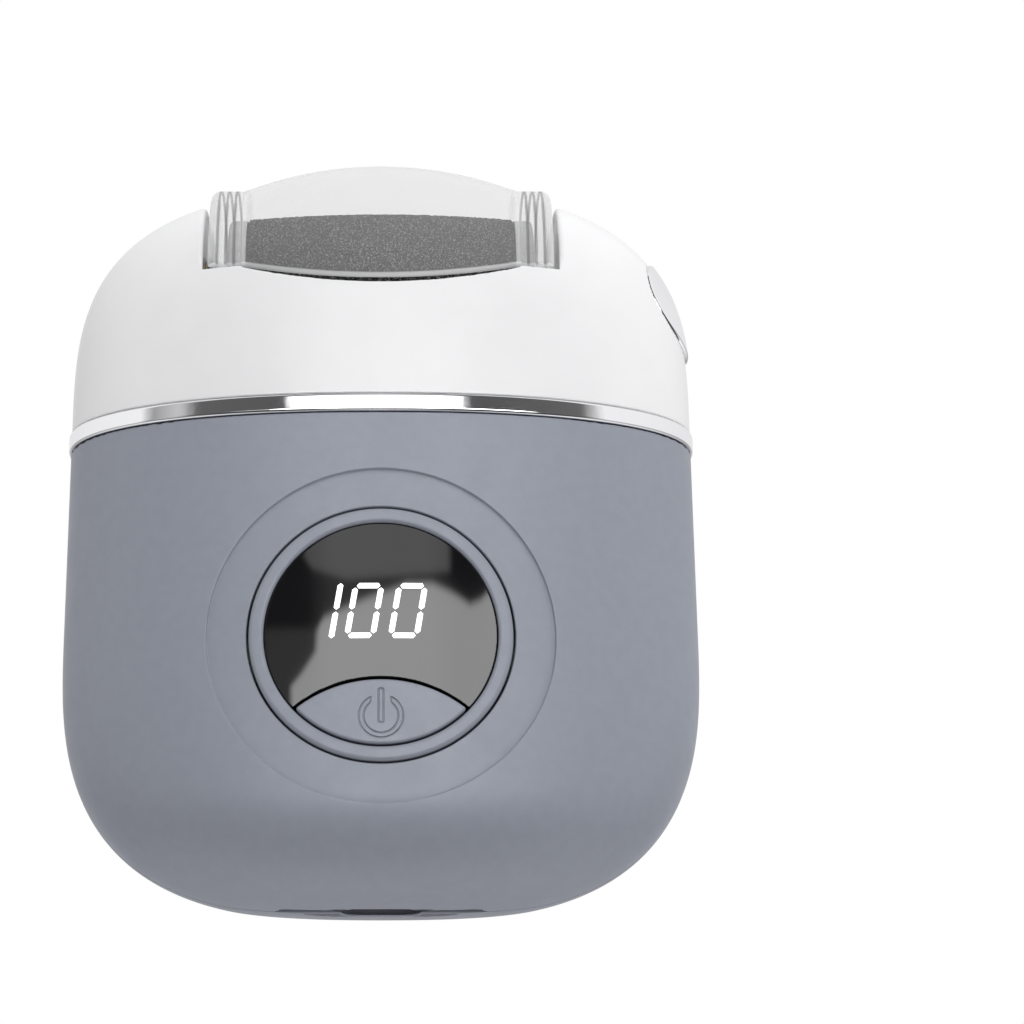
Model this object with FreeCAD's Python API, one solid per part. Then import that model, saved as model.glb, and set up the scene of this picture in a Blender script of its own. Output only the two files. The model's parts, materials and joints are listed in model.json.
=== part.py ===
import FreeCAD, Part
import math
import os

# Electric callus remover, in millimetres. The origin is the middle of the base, +Z runs up
# through the roller, the display faces -Y and +X is the side of the roller release button.

VECTOR = FreeCAD.Vector
ORIGIN = VECTOR(0, 0, 0)
X_AXIS = VECTOR(1, 0, 0)
Y_AXIS = VECTOR(0, 1, 0)
Z_AXIS = VECTOR(0, 0, 1)

# Outer form: rounded oval sections stacked along Z
HALF_WIDTH = 37.5
HALF_DEPTH = 14.5
SQUARENESS = 2.2            # exponent of the oval section, 2 is an ellipse
SECTION_POINTS = 40
BASE_WIDTH_TOP = 33.0       # the width starts to narrow towards the base below this height
BASE_WIDTH_RISE = 33.6
BASE_DEPTH_TOP = 12.0       # the depth starts to narrow towards the base below this height
BASE_DEPTH_RISE = 12.4
BASE_WIDTH_POWER = 3.0
BASE_DEPTH_POWER = 2.3
DOME_WIDTH_START = 60.0
DOME_WIDTH_RISE = 30.3
DOME_WIDTH_POWER = 3.1
DOME_DEPTH_START = 62.0
DOME_DEPTH_RISE = 28.3
DOME_DEPTH_POWER = 3.0
DOME_CUT = 89.5             # the channel has removed the dome well before this height
MIDDLE_STATIONS = (12.0, 14.5, 17.5, 21.0, 25.0, 30.0, 36.0, 43.0, 50.0, 57.0, 62.0)

# Shells
BODY_WALL = 1.8
HEAD_WALL = 1.5
SEAM_GAP = 0.2
LIP_DEPTH = 1.2
BODY_TOP = 56.1
BAND_BOTTOM = 56.18
BAND_TOP = 58.38
BAND_PROUD = 0.3
BAND_ROUND = 0.35
HEAD_BOTTOM = 58.5
SKIRT_BOTTOM = 52.0
SKIRT_INSET = 1.95
SKIRT_INNER = 2.7
INNER_LIMIT = 2.9           # inner pieces stay this far inside the outer form

# Roller channel through the head
CHANNEL_HALF = 21.4
CHANNEL_ARC_RADIUS = 54.5
CHANNEL_ARC_LOW = 72.7
CHANNEL_ARC_HALF = 16.5
CHANNEL_SHELF = 75.8
CHANNEL_WALL = 1.2
CHANNEL_WALL_BOTTOM = 66.3
CHANNEL_EDGE_ROUND = 0.7
LEDGE_TOP = 70.4
LEDGE_HALF = 18.0

# Roller
ROLLER_Z = 78.0
ROLLER_RADIUS = 10.0
ROLLER_HALF = 16.3
ROLLER_CROWN = 0.7
SLEEVE_BORE = 8.6
CORE_RADIUS = 8.55
CORE_BORE = 6.6
CAP_PLUG = 6.55
CAP_FLANGE = 9.0
CAP_END = 18.6
SPINDLE_RADIUS = 2.5
SPINDLE_HOLE = 3.85
HEX_FLATS = 5.0
SOCKET_FLATS = 5.2
RUNNING_GAP = 0.06

# Idle pin, its spring and the release button
PIN_RADIUS = 2.0
PIN_TIP = 23.4
PIN_FLANGE = 2.9
PIN_SHOULDER = 15.4
RELEASE_TRAVEL = 2.0
RELEASE_Z = 75.0
RELEASE_RADIUS = 6.2
RELEASE_GAP = 0.15
RELEASE_PROUD = 0.5
RELEASE_RIM = 0.8
SEAT_END = 24.4
SEAT_RADIUS = 3.4
SPRING_SEAT = 31.2          # inner face of the button's seat for its spring

# Clear cover
COVER_Z = 78.3
COVER_RADIUS = 15.4
COVER_SAG = 2.9             # how much smaller the barrel is at its ends
COVER_BARREL_HALF = 16.3
COVER_END_RADIUS = 12.35
COVER_HALF = 20.8
COVER_WALL = 1.2
COVER_RIM_LOW = 73.25
COVER_RIM_END = 76.2
COVER_END_WALL_Z = 81.2
COVER_CORNER = 1.1
RIB_GROOVES = (17.65, 18.65, 19.65)
RIB_GROOVE_WIDTH = 0.4
RIB_GROOVE_DEPTH = 0.45
RIB_TOP = 86.0

# Gear train, all shafts parallel to X in the plane y = 0
MODULE = 0.6
ADDENDUM = 0.8
DEDENDUM = 1.2
BACKLASH = 0.12
PRESSURE_ANGLE = math.radians(20)
DRIVEN_TEETH = 20
SMALL_TEETH = 16
LARGE_TEETH = 26
PINION_TEETH = 12
COMPOUND_PIN = 1.0
COMPOUND_Z = ROLLER_Z - MODULE * (DRIVEN_TEETH + SMALL_TEETH) / 2
MOTOR_Z = COMPOUND_Z - MODULE * (LARGE_TEETH + PINION_TEETH) / 2
PLATE_OUT = -24.0           # outer face of the gear plate
PLATE_IN = -22.7
SMALL_GEAR_X = (-26.0, -24.3)
LARGE_GEAR_X = (-27.7, -26.2)
GEAR_COVER_X = (-29.2, -28.2)
STANDOFF_Y = 5.6
STANDOFF_Z = 58.5

# Motor
MOTOR_RADIUS = 10.0
MOTOR_FLAT = 7.7
MOTOR_X = (-22.6, 2.4)
MOTOR_SHAFT = 1.0
MOTOR_CAP = 2.2
MOTOR_SCREW_Y = 5.5
MOTOR_SCREW_DROP = 3.2

# Display and power button
DISPLAY_Z = 29.1
RECESS_RADIUS = 19.9
RECESS_DEPTH = 0.35
BEZEL_RADIUS = 15.05
BEZEL_HOLE = 15.3
LENS_RADIUS = 13.25
BEZEL_BORE = 13.35
BUTTON_RADIUS = 13.1
BUTTON_ARC_RADIUS = 15.5
BUTTON_ARC_Z = 8.05
BUTTON_GAP = 0.3
BUTTON_TRAVEL = 0.6
DIGIT_HEIGHT = 6.6
DIGIT_WIDTH = 2.93          # between the centre lines of the upright segments
DIGIT_PITCH = 4.96
DIGIT_STROKE = 0.64
DIGIT_GAP = 0.12
DIGIT_SLANT = math.tan(math.radians(9.3))
DIGITS_X = -0.1
DIGITS_Z = 31.7
ZERO_X = -3.25              # left upright of the first zero, from DIGITS_X
ONE_X = -5.0

# Sign engraved in the power button
ICON_Z = 19.2
ICON_RADIUS = 2.5
ICON_STROKE = 0.55
ICON_GAP = 1.15             # half the opening of the broken ring
ICON_GROOVE = 0.16
ICON_BAR = (-0.75, 3.2)     # ends of the bar, from the ring's centre
ICON_DEPTH = (-HALF_DEPTH - 2, -HALF_DEPTH + 0.2)

# Screw places: (x, y) into the cradle, (x, z) into the chassis and board, (y, z) into the gear plate
CRADLE_SCREWS = ((11.5, 0.0), (18.5, 0.0))
CHASSIS_POINTS = ((-26.2, 22.0), (26.2, 22.0), (-26.2, 40.0), (26.2, 40.0))
BOARD_POINTS = ((-13.5, 15.5), (13.5, 15.5), (-13.5, 42.5), (13.5, 42.5))
PLATE_SCREWS = ((-5.0, 44.3), (5.0, 44.3))

# Circuit board, battery and charging socket
BOARD_FRONT = -8.4
BOARD_BACK = -7.4
BOARD_TOP = 45.0
BATTERY_HALF = 23.0
BATTERY_Z = (12.6, 42.4)
BATTERY_Y = (0.9, 8.6)
USB_SLOT = (9.2, 3.4)
USB_POCKET = (10.6, 4.8)    # wider behind a thin edge round the slot
USB_EDGE = 0.7
USB_SHELL = (8.9, 3.2)


def box(x_range, y_range, z_range):
    size = [high - low for low, high in (x_range, y_range, z_range)]
    corner = VECTOR(x_range[0], y_range[0], z_range[0])
    return Part.makeBox(size[0], size[1], size[2], corner)


def rod_x(radius, x_range, y=0.0, z=0.0):
    return Part.makeCylinder(radius, x_range[1] - x_range[0], VECTOR(x_range[0], y, z), X_AXIS)


def rod_y(radius, y_range, x=0.0, z=0.0):
    return Part.makeCylinder(radius, y_range[1] - y_range[0], VECTOR(x, y_range[0], z), Y_AXIS)


def rod_z(radius, z_range, x=0.0, y=0.0):
    return Part.makeCylinder(radius, z_range[1] - z_range[0], VECTOR(x, y, z_range[0]), Z_AXIS)


def ring_x(outer, inner, x_range, y=0.0, z=0.0):
    return rod_x(outer, x_range, y, z).cut(rod_x(inner, x_range, y, z))


def joined(shapes):
    whole = shapes[0]
    for shape in shapes[1:]:
        whole = whole.fuse(shape)
    return whole


def merged(shapes):
    """Join flat-faced or round pieces and merge the faces that run on into each other."""
    return joined(shapes).removeSplitter()


def fillet_near(shape, radius, wanted):
    """Round the edges whose middle point the function wanted accepts."""
    edges = []
    for edge in shape.Edges:
        middle = edge.valueAt((edge.FirstParameter + edge.LastParameter) / 2)
        if wanted(middle):
            edges.append(edge)
    return shape.makeFillet(radius, edges)


def drop(amount, rise, power):
    """Height of a rounded end as a share of full size, at a depth into its rise."""
    share = min(max(amount / rise, 0.0), 1.0)
    return (1 - share ** power) ** (1 / power)


def half_width(z, inset):
    low = drop(BASE_WIDTH_TOP - z, BASE_WIDTH_RISE - inset, BASE_WIDTH_POWER)
    high = drop(z - DOME_WIDTH_START, DOME_WIDTH_RISE - inset, DOME_WIDTH_POWER)
    return (HALF_WIDTH - inset) * low * high


def half_depth(z, inset):
    low = drop(BASE_DEPTH_TOP - z, BASE_DEPTH_RISE - inset, BASE_DEPTH_POWER)
    high = drop(z - DOME_DEPTH_START, DOME_DEPTH_RISE - inset, DOME_DEPTH_POWER)
    return (HALF_DEPTH - inset) * low * high


def section(z, inset):
    """One level oval of the outer form, as a closed curve that starts at the back."""
    a = half_width(z, inset)
    b = half_depth(z, inset)
    points = []
    for i in range(SECTION_POINTS):
        angle = 2 * math.pi * i / SECTION_POINTS + math.pi / 2
        c = math.cos(angle)
        s = math.sin(angle)
        x = a * math.copysign(abs(c) ** (2 / SQUARENESS), c)
        y = b * math.copysign(abs(s) ** (2 / SQUARENESS), s)
        points.append(VECTOR(x, y, z))
    curve = Part.BSplineCurve()
    knots = [i / SECTION_POINTS for i in range(SECTION_POINTS + 1)]
    curve.interpolate(Points=points, PeriodicFlag=True, Parameters=knots)
    return curve


def stations(low, high):
    """Section heights, close together where the form turns in at its ends."""
    turn = [math.sin(math.radians(9 * i)) for i in range(1, 10)]
    bottom = [BASE_DEPTH_TOP - (BASE_DEPTH_TOP - low) * t for t in turn] if low < BASE_DEPTH_TOP else []
    top = []
    if high > DOME_DEPTH_START:
        top = [DOME_DEPTH_START + (high - DOME_DEPTH_START) * t for t in turn]
    middle = [z for z in MIDDLE_STATIONS if low + 2 < z < high - 2]
    levels = [low] + sorted(bottom + middle + top) + [high]
    if len(levels) < 6 or high - low < 6:
        levels = [low + (high - low) * i / 5 for i in range(6)]
    return levels


def form(inset, low, high):
    """The outer form between two heights, moved in by inset on every side."""
    rows = [section(z, inset) for z in stations(low, high)]
    grid = [list(column) for column in zip(*[row.getPoles() for row in rows])]
    count = len(rows)
    surface = Part.BSplineSurface()
    surface.buildFromPolesMultsKnots(grid, rows[0].getMultiplicities(), [4] + [1] * (count - 4) + [4],
                                     rows[0].getKnots(), list(range(count - 2)), True, False, 3, 3)
    ends = [Part.Face(Part.Wire(row.toShape())) for row in (rows[0], rows[-1])]
    skin = Part.makeShell([surface.toShape()] + ends)
    skin.sewShape()
    solid = Part.makeSolid(skin)
    if solid.Volume < 0:
        solid.reverse()
    return solid


OUTER_BODY = form(0.0, 0.0, BODY_TOP)
BODY_SPACE = form(BODY_WALL, BODY_WALL, BODY_TOP + 1)
SKIRT_SPACE = form(INNER_LIMIT, INNER_LIMIT, DOME_CUT - INNER_LIMIT)


def disc_front(radius, z=DISPLAY_Z):
    """A round punch through the front wall, about an axis parallel to Y."""
    return rod_y(radius, (-HALF_DEPTH - 4, -HALF_DEPTH / 2), 0, z)


def front_plate(punch, outer_inset, inner_inset):
    """What a punch cuts from the layer between two insets of the body's form."""
    outer = form(outer_inset, max(outer_inset, 0.0) + 2, BODY_TOP - 2)
    inner = form(inner_inset, inner_inset + 1, BODY_TOP - 1)
    return punch.common(outer).cut(inner)


def seam_ring(outer_inset, inner_inset, y_range):
    outer = form(outer_inset, outer_inset, BODY_TOP - LIP_DEPTH)
    inner = form(inner_inset, inner_inset, BODY_TOP)
    slab = box((-HALF_WIDTH, HALF_WIDTH), y_range, (0, BODY_TOP))
    return outer.cut(inner).common(slab)


def usb_punch(size, z_range):
    width, height = size
    middle = box((-(width - height) / 2, (width - height) / 2), (-height / 2, height / 2), z_range)
    ends = [rod_z(height / 2, z_range, side * (width - height) / 2) for side in (-1, 1)]
    return merged([middle] + ends)


def half_body(side):
    y_range = sorted((side * SEAM_GAP / 2, side * (HALF_DEPTH + 1)))
    half = box((-HALF_WIDTH - 1, HALF_WIDTH + 1), y_range, (-1, BODY_TOP + 1))
    shell = OUTER_BODY.cut(BODY_SPACE).common(half)
    shell = shell.cut(usb_punch(USB_SLOT, (-1, BODY_WALL + 2)))
    return shell.cut(usb_punch(USB_POCKET, (USB_EDGE, BODY_WALL + 2)))


def front_shell():
    shell = half_body(-1)
    recess = disc_front(RECESS_RADIUS).cut(form(RECESS_DEPTH, RECESS_DEPTH + 1, BODY_TOP - 1))
    shell = shell.cut(recess).cut(disc_front(BEZEL_HOLE))
    return shell.cut(seam_ring(0.8, 2.0, (-LIP_DEPTH - 0.15, 0)))


def rear_shell():
    lip = seam_ring(0.95, BODY_WALL + 0.02, (-LIP_DEPTH, 1.5)).cut(usb_punch(USB_POCKET, (-1, 4)))
    pieces = [half_body(1), lip]
    for x, z in CHASSIS_POINTS:
        post = rod_y(2.0, (0.5, HALF_DEPTH), x, z).common(form(0.8, 1, BODY_TOP - 1))
        pieces.append(post.cut(rod_y(0.85, (0.4, 6.5), x, z)))
    return joined(pieces)


def chrome_band():
    inside = form(SKIRT_INSET - 0.1, BAND_BOTTOM - 1, BAND_TOP + 1)
    ring = form(-BAND_PROUD, BAND_BOTTOM, BAND_TOP).cut(inside)
    return fillet_near(ring, BAND_ROUND, lambda p: abs(p.y) > HALF_DEPTH)


def channel_punch():
    arc_end_z = CHANNEL_ARC_LOW + CHANNEL_ARC_RADIUS
    arc_end_z -= math.sqrt(CHANNEL_ARC_RADIUS ** 2 - CHANNEL_ARC_HALF ** 2)
    arc = Part.Arc(VECTOR(-CHANNEL_ARC_HALF, -20, arc_end_z), VECTOR(0, -20, CHANNEL_ARC_LOW),
                   VECTOR(CHANNEL_ARC_HALF, -20, arc_end_z))
    top = 100.0
    corners = [(CHANNEL_ARC_HALF, arc_end_z), (CHANNEL_ARC_HALF, CHANNEL_SHELF),
               (CHANNEL_HALF, CHANNEL_SHELF), (CHANNEL_HALF, top), (-CHANNEL_HALF, top),
               (-CHANNEL_HALF, CHANNEL_SHELF), (-CHANNEL_ARC_HALF, CHANNEL_SHELF),
               (-CHANNEL_ARC_HALF, arc_end_z)]
    sides = Part.makePolygon([VECTOR(x, -20, z) for x, z in corners])
    outline = Part.Wire([arc.toShape()] + sides.Edges)
    return Part.Face(outline).extrude(VECTOR(0, 40, 0))


def head_shell():
    shell = form(0.0, HEAD_BOTTOM, DOME_CUT).cut(form(HEAD_WALL, HEAD_BOTTOM - 1, DOME_CUT - HEAD_WALL))
    shell = shell.cut(channel_punch())
    bulk = form(HEAD_WALL / 2, HEAD_BOTTOM, DOME_CUT - 1)
    for side in (-1, 1):
        x_range = sorted((side * CHANNEL_HALF, side * (CHANNEL_HALF + CHANNEL_WALL)))
        wall = box(x_range, (-20, 20), (CHANNEL_WALL_BOTTOM, DOME_CUT)).common(bulk)
        shell = shell.fuse(wall)
    shell = fillet_near(shell.removeSplitter(), CHANNEL_EDGE_ROUND, is_channel_edge)
    collar = form(HEAD_WALL / 2, HEAD_BOTTOM, HEAD_BOTTOM + 1.2)
    skirt = form(SKIRT_INSET, SKIRT_BOTTOM, HEAD_BOTTOM + 1.2)
    hollow = form(SKIRT_INNER, SKIRT_BOTTOM - 1, HEAD_BOTTOM + 3)
    ledges = bulk.cut(form(INNER_LIMIT, HEAD_BOTTOM, DOME_CUT - INNER_LIMIT))
    ledges = ledges.common(box((-LEDGE_HALF, LEDGE_HALF), (-20, 20), (LEDGE_TOP - 1.2, LEDGE_TOP)))
    shell = joined([shell, collar.fuse(skirt).cut(hollow), ledges])
    shell = shell.fuse(rod_x(SEAT_RADIUS, (CHANNEL_HALF + 0.3, SEAT_END), 0, ROLLER_Z))
    shell = shell.cut(rod_x(PIN_RADIUS + RUNNING_GAP, (CHANNEL_HALF - 1, SEAT_END + 1), 0, ROLLER_Z))
    shell = shell.cut(rod_x(SPINDLE_HOLE, (-CHANNEL_HALF - 2, -CHANNEL_HALF + 1), 0, ROLLER_Z))
    shell = shell.cut(rod_x(COMPOUND_PIN + 0.05, (-CHANNEL_HALF - 2, -CHANNEL_HALF + 1), 0, COMPOUND_Z))
    return shell.cut(rod_x(RELEASE_RADIUS + RELEASE_GAP, (27, 42), 0, RELEASE_Z))


def is_channel_edge(p):
    on_wall = abs(abs(p.x) - CHANNEL_HALF) < 0.01
    return on_wall and p.z > CHANNEL_SHELF + 0.5


def roller_cradle():
    x_range = (-CHANNEL_HALF + 0.15, CHANNEL_HALF - 0.15)
    trough = ring_x(11.9, 10.9, x_range, 0, ROLLER_Z).common(box(x_range, (-15, 15), (60, 73.6)))
    flange = box((-LEDGE_HALF, LEDGE_HALF), (-15, 15), (LEDGE_TOP + 0.1, LEDGE_TOP + 1.2))
    flange = flange.cut(rod_x(11.4, (-30, 30), 0, ROLLER_Z))
    cradle = merged([trough, flange])
    limit = form(HEAD_WALL + 0.15, HEAD_BOTTOM, 80)
    cradle = cradle.common(limit)
    for x, y in CRADLE_SCREWS:
        cradle = cradle.fuse(rod_z(2.2, (64.4, 68.2), x, y).cut(rod_x(11.5, (-30, 30), 0, ROLLER_Z)))
        cradle = cradle.cut(rod_z(1.1, (60, 75), x, y))
    return cradle.removeSplitter()


def motor_section(radius, flat, x_range):
    return rod_x(radius, x_range, 0, MOTOR_Z).common(
        box(x_range, (-flat, flat), (MOTOR_Z - radius, MOTOR_Z + radius)))


def chassis():
    plate = box((-28.5, 28.5), (-0.8, 0.4), (12, 45.0))
    web = box((4.0, 26.0), (-0.8, 0.4), (44, 63.0))
    shelf = box((7.0, 23.0), (-6, 6), (62.8, 64.3))
    pieces = [plate, web, shelf]
    motor_space = motor_section(MOTOR_RADIUS + 0.1, MOTOR_FLAT + 0.1, (-30, 10))
    for x_range in ((-22.5, -20.6), (-2.0, -0.2)):
        saddle = box(x_range, (-9.2, 9.2), (42.8, 54.0))
        pieces.append(saddle.cut(motor_space))
    for x, y in CRADLE_SCREWS:
        pieces.append(rod_z(2.2, (56.0, 63.0), x, y))
    for x, z in BOARD_POINTS:
        pieces.append(rod_y(1.9, (BOARD_BACK + 0.05, -0.4), x, z))
    frame = merged(pieces).common(SKIRT_SPACE)
    for x, y in CRADLE_SCREWS:
        frame = frame.cut(rod_z(0.8, (57.0, 65.0), x, y))
    for x, z in BOARD_POINTS:
        frame = frame.cut(rod_y(0.8, (BOARD_BACK - 1, -2.0), x, z))
    for x, z in CHASSIS_POINTS:
        frame = frame.cut(rod_y(1.1, (-2, 1), x, z))
    for y, z in PLATE_SCREWS:
        frame = frame.cut(rod_x(0.8, (-23, -20), y, z))
    frame = frame.cut(box((PLATE_OUT - 0.3, PLATE_IN + 0.2), (-2, 2), (42.4, 46)))
    return frame.cut(box((-2.5, 0.3), (BOARD_FRONT - 0.3, BOARD_BACK + 0.3), (42.4, BOARD_TOP + 0.3)))


def screw(radius, head, length, head_height, direction, place):
    """A pan-head screw: place is under the head, direction points down the shank."""
    shank = Part.makeCylinder(radius, length, place, direction)
    cap = Part.makeCylinder(head, head_height, place - direction * head_height, direction)
    top = place - direction * (head_height + 0.01)
    slot_a = Part.makeBox(head * 1.2, head * 0.3, head_height / 2)
    slot_b = Part.makeBox(head * 0.3, head * 1.2, head_height / 2)
    slot_a.translate(VECTOR(-head * 0.6, -head * 0.15, 0))
    slot_b.translate(VECTOR(-head * 0.15, -head * 0.6, 0))
    cross = slot_a.fuse(slot_b)
    cross.Placement = FreeCAD.Placement(top, FreeCAD.Rotation(Z_AXIS, direction))
    return cap.fuse(shank).cut(cross)


def screw_group(radius, head, length, head_height, direction, places):
    return Part.makeCompound([screw(radius, head, length, head_height, direction, p) for p in places])


def cradle_screws():
    places = [VECTOR(x, y, 67.35) for x, y in CRADLE_SCREWS]
    return screw_group(0.75, 1.7, 8.5, 0.7, VECTOR(0, 0, -1), places)


def chassis_screws():
    places = [VECTOR(x, -0.85, z) for x, z in CHASSIS_POINTS]
    return screw_group(0.8, 1.8, 6.0, 1.1, Y_AXIS, places)


def board_screws():
    places = [VECTOR(x, BOARD_FRONT - 0.05, z) for x, z in BOARD_POINTS]
    return screw_group(0.75, 1.6, 5.5, 0.9, Y_AXIS, places)


def plate_screws():
    places = [VECTOR(PLATE_OUT - 0.05, y, z) for y, z in PLATE_SCREWS]
    return screw_group(0.75, 1.5, 3.0, 0.9, X_AXIS, places)


def motor_screws():
    height = MOTOR_Z - MOTOR_SCREW_DROP
    places = [VECTOR(PLATE_OUT - 0.05, side * MOTOR_SCREW_Y, height) for side in (-1, 1)]
    return screw_group(0.75, 1.5, 2.9, 0.9, X_AXIS, places)


def gear_cover_screws():
    places = [VECTOR(GEAR_COVER_X[0] - 0.05, side * STANDOFF_Y, STANDOFF_Z) for side in (-1, 1)]
    return screw_group(0.6, 1.1, 4.6, 0.7, X_AXIS, places)


def gear_plate():
    plate = box((PLATE_OUT, PLATE_IN), (-12, 12), (42.8, 85.0))
    pieces = [plate]
    post = (GEAR_COVER_X[1] + 0.05, PLATE_OUT + 0.5)
    for side in (-1, 1):
        pieces.append(rod_x(1.3, post, side * STANDOFF_Y, STANDOFF_Z))
    part = merged(pieces).common(SKIRT_SPACE)
    part = part.cut(rod_x(SPINDLE_HOLE, (-30, -20), 0, ROLLER_Z))
    part = part.cut(rod_x(COMPOUND_PIN + 0.02, (-30, -20), 0, COMPOUND_Z))
    part = part.cut(rod_x(3.2, (-30, -20), 0, MOTOR_Z))
    for side in (-1, 1):
        part = part.cut(rod_x(0.65, (-30, PLATE_OUT), side * STANDOFF_Y, STANDOFF_Z))
        part = part.cut(rod_x(0.8, (-30, -20), side * MOTOR_SCREW_Y, MOTOR_Z - MOTOR_SCREW_DROP))
    for y, z in PLATE_SCREWS:
        part = part.cut(rod_x(0.8, (-30, -20), y, z))
    return part


def gear_cover():
    plate = box(GEAR_COVER_X, (-6.9, 6.9), (56.8, 62.0)).fuse(box(GEAR_COVER_X, (-3.2, 3.2), (60, 70.6)))
    plate = plate.cut(rod_x(COMPOUND_PIN + 0.02, (-30, -28), 0, COMPOUND_Z))
    for side in (-1, 1):
        plate = plate.cut(rod_x(0.65, (-30, -28), side * STANDOFF_Y, STANDOFF_Z))
    return plate.removeSplitter()


def involute(angle):
    return math.tan(angle) - angle


def gear(teeth, x_range, bore, centre_z, phase):
    """A spur gear about X. phase is the direction of one tooth in the YZ plane, 0 along +Z."""
    pitch = MODULE * teeth / 2
    base = pitch * math.cos(PRESSURE_ANGLE)
    tip = pitch + MODULE * ADDENDUM
    root = pitch - MODULE * DEDENDUM
    half = math.pi / (2 * teeth) - BACKLASH / (2 * pitch) + involute(PRESSURE_ANGLE)
    start = max(base, root + 0.02)
    radii = [start + (tip - start) * i / 5 for i in range(6)]

    def point(radius, angle):
        return VECTOR(x_range[0], radius * math.sin(angle), centre_z + radius * math.cos(angle))

    def flank(middle, side):
        places = []
        for radius in radii:
            turn = half - involute(math.acos(min(1.0, base / radius)))
            places.append(point(radius, middle + side * turn))
        return places

    edges = []
    step = 2 * math.pi / teeth
    for i in range(teeth):
        middle = phase + step * i
        rising = flank(middle, -1)
        falling = flank(middle, 1)
        falling.reverse()
        foot_in = point(root, middle - half)
        foot_out = point(root, middle + half)
        next_foot = point(root, middle + step - half)
        for places in (rising, falling):
            curve = Part.BSplineCurve()
            curve.interpolate(places)
            edges.append(curve.toShape())
        edges.append(Part.makeLine(foot_in, rising[0]))
        edges.append(Part.Arc(rising[-1], point(tip, middle), falling[0]).toShape())
        edges.append(Part.makeLine(falling[-1], foot_out))
        edges.append(Part.Arc(foot_out, point(root, middle + step / 2), next_foot).toShape())
    outline = Part.Wire(Part.sortEdges(edges)[0])
    solid = Part.Face(outline).extrude(VECTOR(x_range[1] - x_range[0], 0, 0))
    return solid.cut(rod_x(bore, (x_range[0] - 1, x_range[1] + 1), 0, centre_z))


def driven_gear():
    phase = math.pi / DRIVEN_TEETH + math.pi
    return gear(DRIVEN_TEETH, SMALL_GEAR_X, SPINDLE_RADIUS + 0.02, ROLLER_Z, phase)


def compound_gear():
    small = gear(SMALL_TEETH, SMALL_GEAR_X, COMPOUND_PIN + 0.05, COMPOUND_Z, 0.0)
    phase = math.pi / LARGE_TEETH + math.pi
    large = gear(LARGE_TEETH, LARGE_GEAR_X, COMPOUND_PIN + 0.05, COMPOUND_Z, phase)
    hub_range = (LARGE_GEAR_X[1] - 0.5, SMALL_GEAR_X[0] + 0.5)
    hub = ring_x(3.0, COMPOUND_PIN + 0.05, hub_range, 0, COMPOUND_Z)
    return merged([small, large, hub])


def compound_pin():
    return rod_x(COMPOUND_PIN, (GEAR_COVER_X[0], -CHANNEL_HALF - 0.1), 0, COMPOUND_Z)


def motor_pinion():
    return gear(PINION_TEETH, (LARGE_GEAR_X[0] - 0.1, LARGE_GEAR_X[1] + 0.4), MOTOR_SHAFT + 0.02, MOTOR_Z, 0.0)


def motor_shaft():
    return rod_x(MOTOR_SHAFT, (LARGE_GEAR_X[0] - 0.2, MOTOR_X[1] + 1.2), 0, MOTOR_Z)


def motor_can():
    can = motor_section(MOTOR_RADIUS, MOTOR_FLAT, (MOTOR_X[0], MOTOR_X[1] - MOTOR_CAP))
    hollow = motor_section(MOTOR_RADIUS - 0.8, MOTOR_FLAT - 0.8, (MOTOR_X[0] + 1.0, MOTOR_X[1]))
    can = can.cut(hollow).fuse(rod_x(3.0, (MOTOR_X[0] - 1.2, MOTOR_X[0] + 0.2), 0, MOTOR_Z))
    can = can.cut(rod_x(MOTOR_SHAFT + RUNNING_GAP, (-30, 0), 0, MOTOR_Z))
    for side in (-1, 1):
        can = can.cut(rod_x(0.8, (-24, -20), side * MOTOR_SCREW_Y, MOTOR_Z - MOTOR_SCREW_DROP))
    return can.removeSplitter()


def motor_rotor():
    core = rod_x(5.6, (-18.0, -4.0), 0, MOTOR_Z)
    for i in range(3):
        slot = box((-19, -3), (-0.9, 0.9), (MOTOR_Z + 2.6, MOTOR_Z + 7))
        slot.rotate(VECTOR(0, 0, MOTOR_Z), X_AXIS, 120 * i)
        core = core.cut(slot)
    return core.cut(rod_x(MOTOR_SHAFT + 0.02, (-20, 0), 0, MOTOR_Z))


def motor_end_cap():
    cap = motor_section(MOTOR_RADIUS, MOTOR_FLAT, (MOTOR_X[1] - MOTOR_CAP + 0.05, MOTOR_X[1]))
    cap = cap.cut(rod_x(MOTOR_SHAFT + RUNNING_GAP, (0, 5), 0, MOTOR_Z))
    pieces = [cap]
    for side in (-1, 1):
        z_range = sorted((MOTOR_Z + side * 6, MOTOR_Z + side * 8))
        pieces.append(box((MOTOR_X[1] - 0.5, MOTOR_X[1] + 1.6), (-0.25, 0.25), z_range))
    return merged(pieces)


def spindle_bush():
    return ring_x(3.8, SPINDLE_RADIUS + RUNNING_GAP, (PLATE_OUT - 0.1, -CHANNEL_HALF + 0.05), 0, ROLLER_Z)


def shaft_seal():
    return ring_x(4.5, SPINDLE_RADIUS + 0.03, (-21.3, -20.95), 0, ROLLER_Z)


def hex_x(flats, x_range):
    radius = flats / math.sqrt(3)
    corners = [math.radians(60 * i + 30) for i in range(7)]
    points = [VECTOR(x_range[0], radius * math.cos(a), ROLLER_Z + radius * math.sin(a)) for a in corners]
    return Part.Face(Part.makePolygon(points)).extrude(VECTOR(x_range[1] - x_range[0], 0, 0))


def drive_spindle():
    shaft = rod_x(SPINDLE_RADIUS, (SMALL_GEAR_X[0] - 0.15, -19.0), 0, ROLLER_Z)
    tip = hex_x(HEX_FLATS, (-19.3, -16.0)).common(rod_x(2.75, (-20, -15), 0, ROLLER_Z))
    return merged([shaft, tip])


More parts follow.
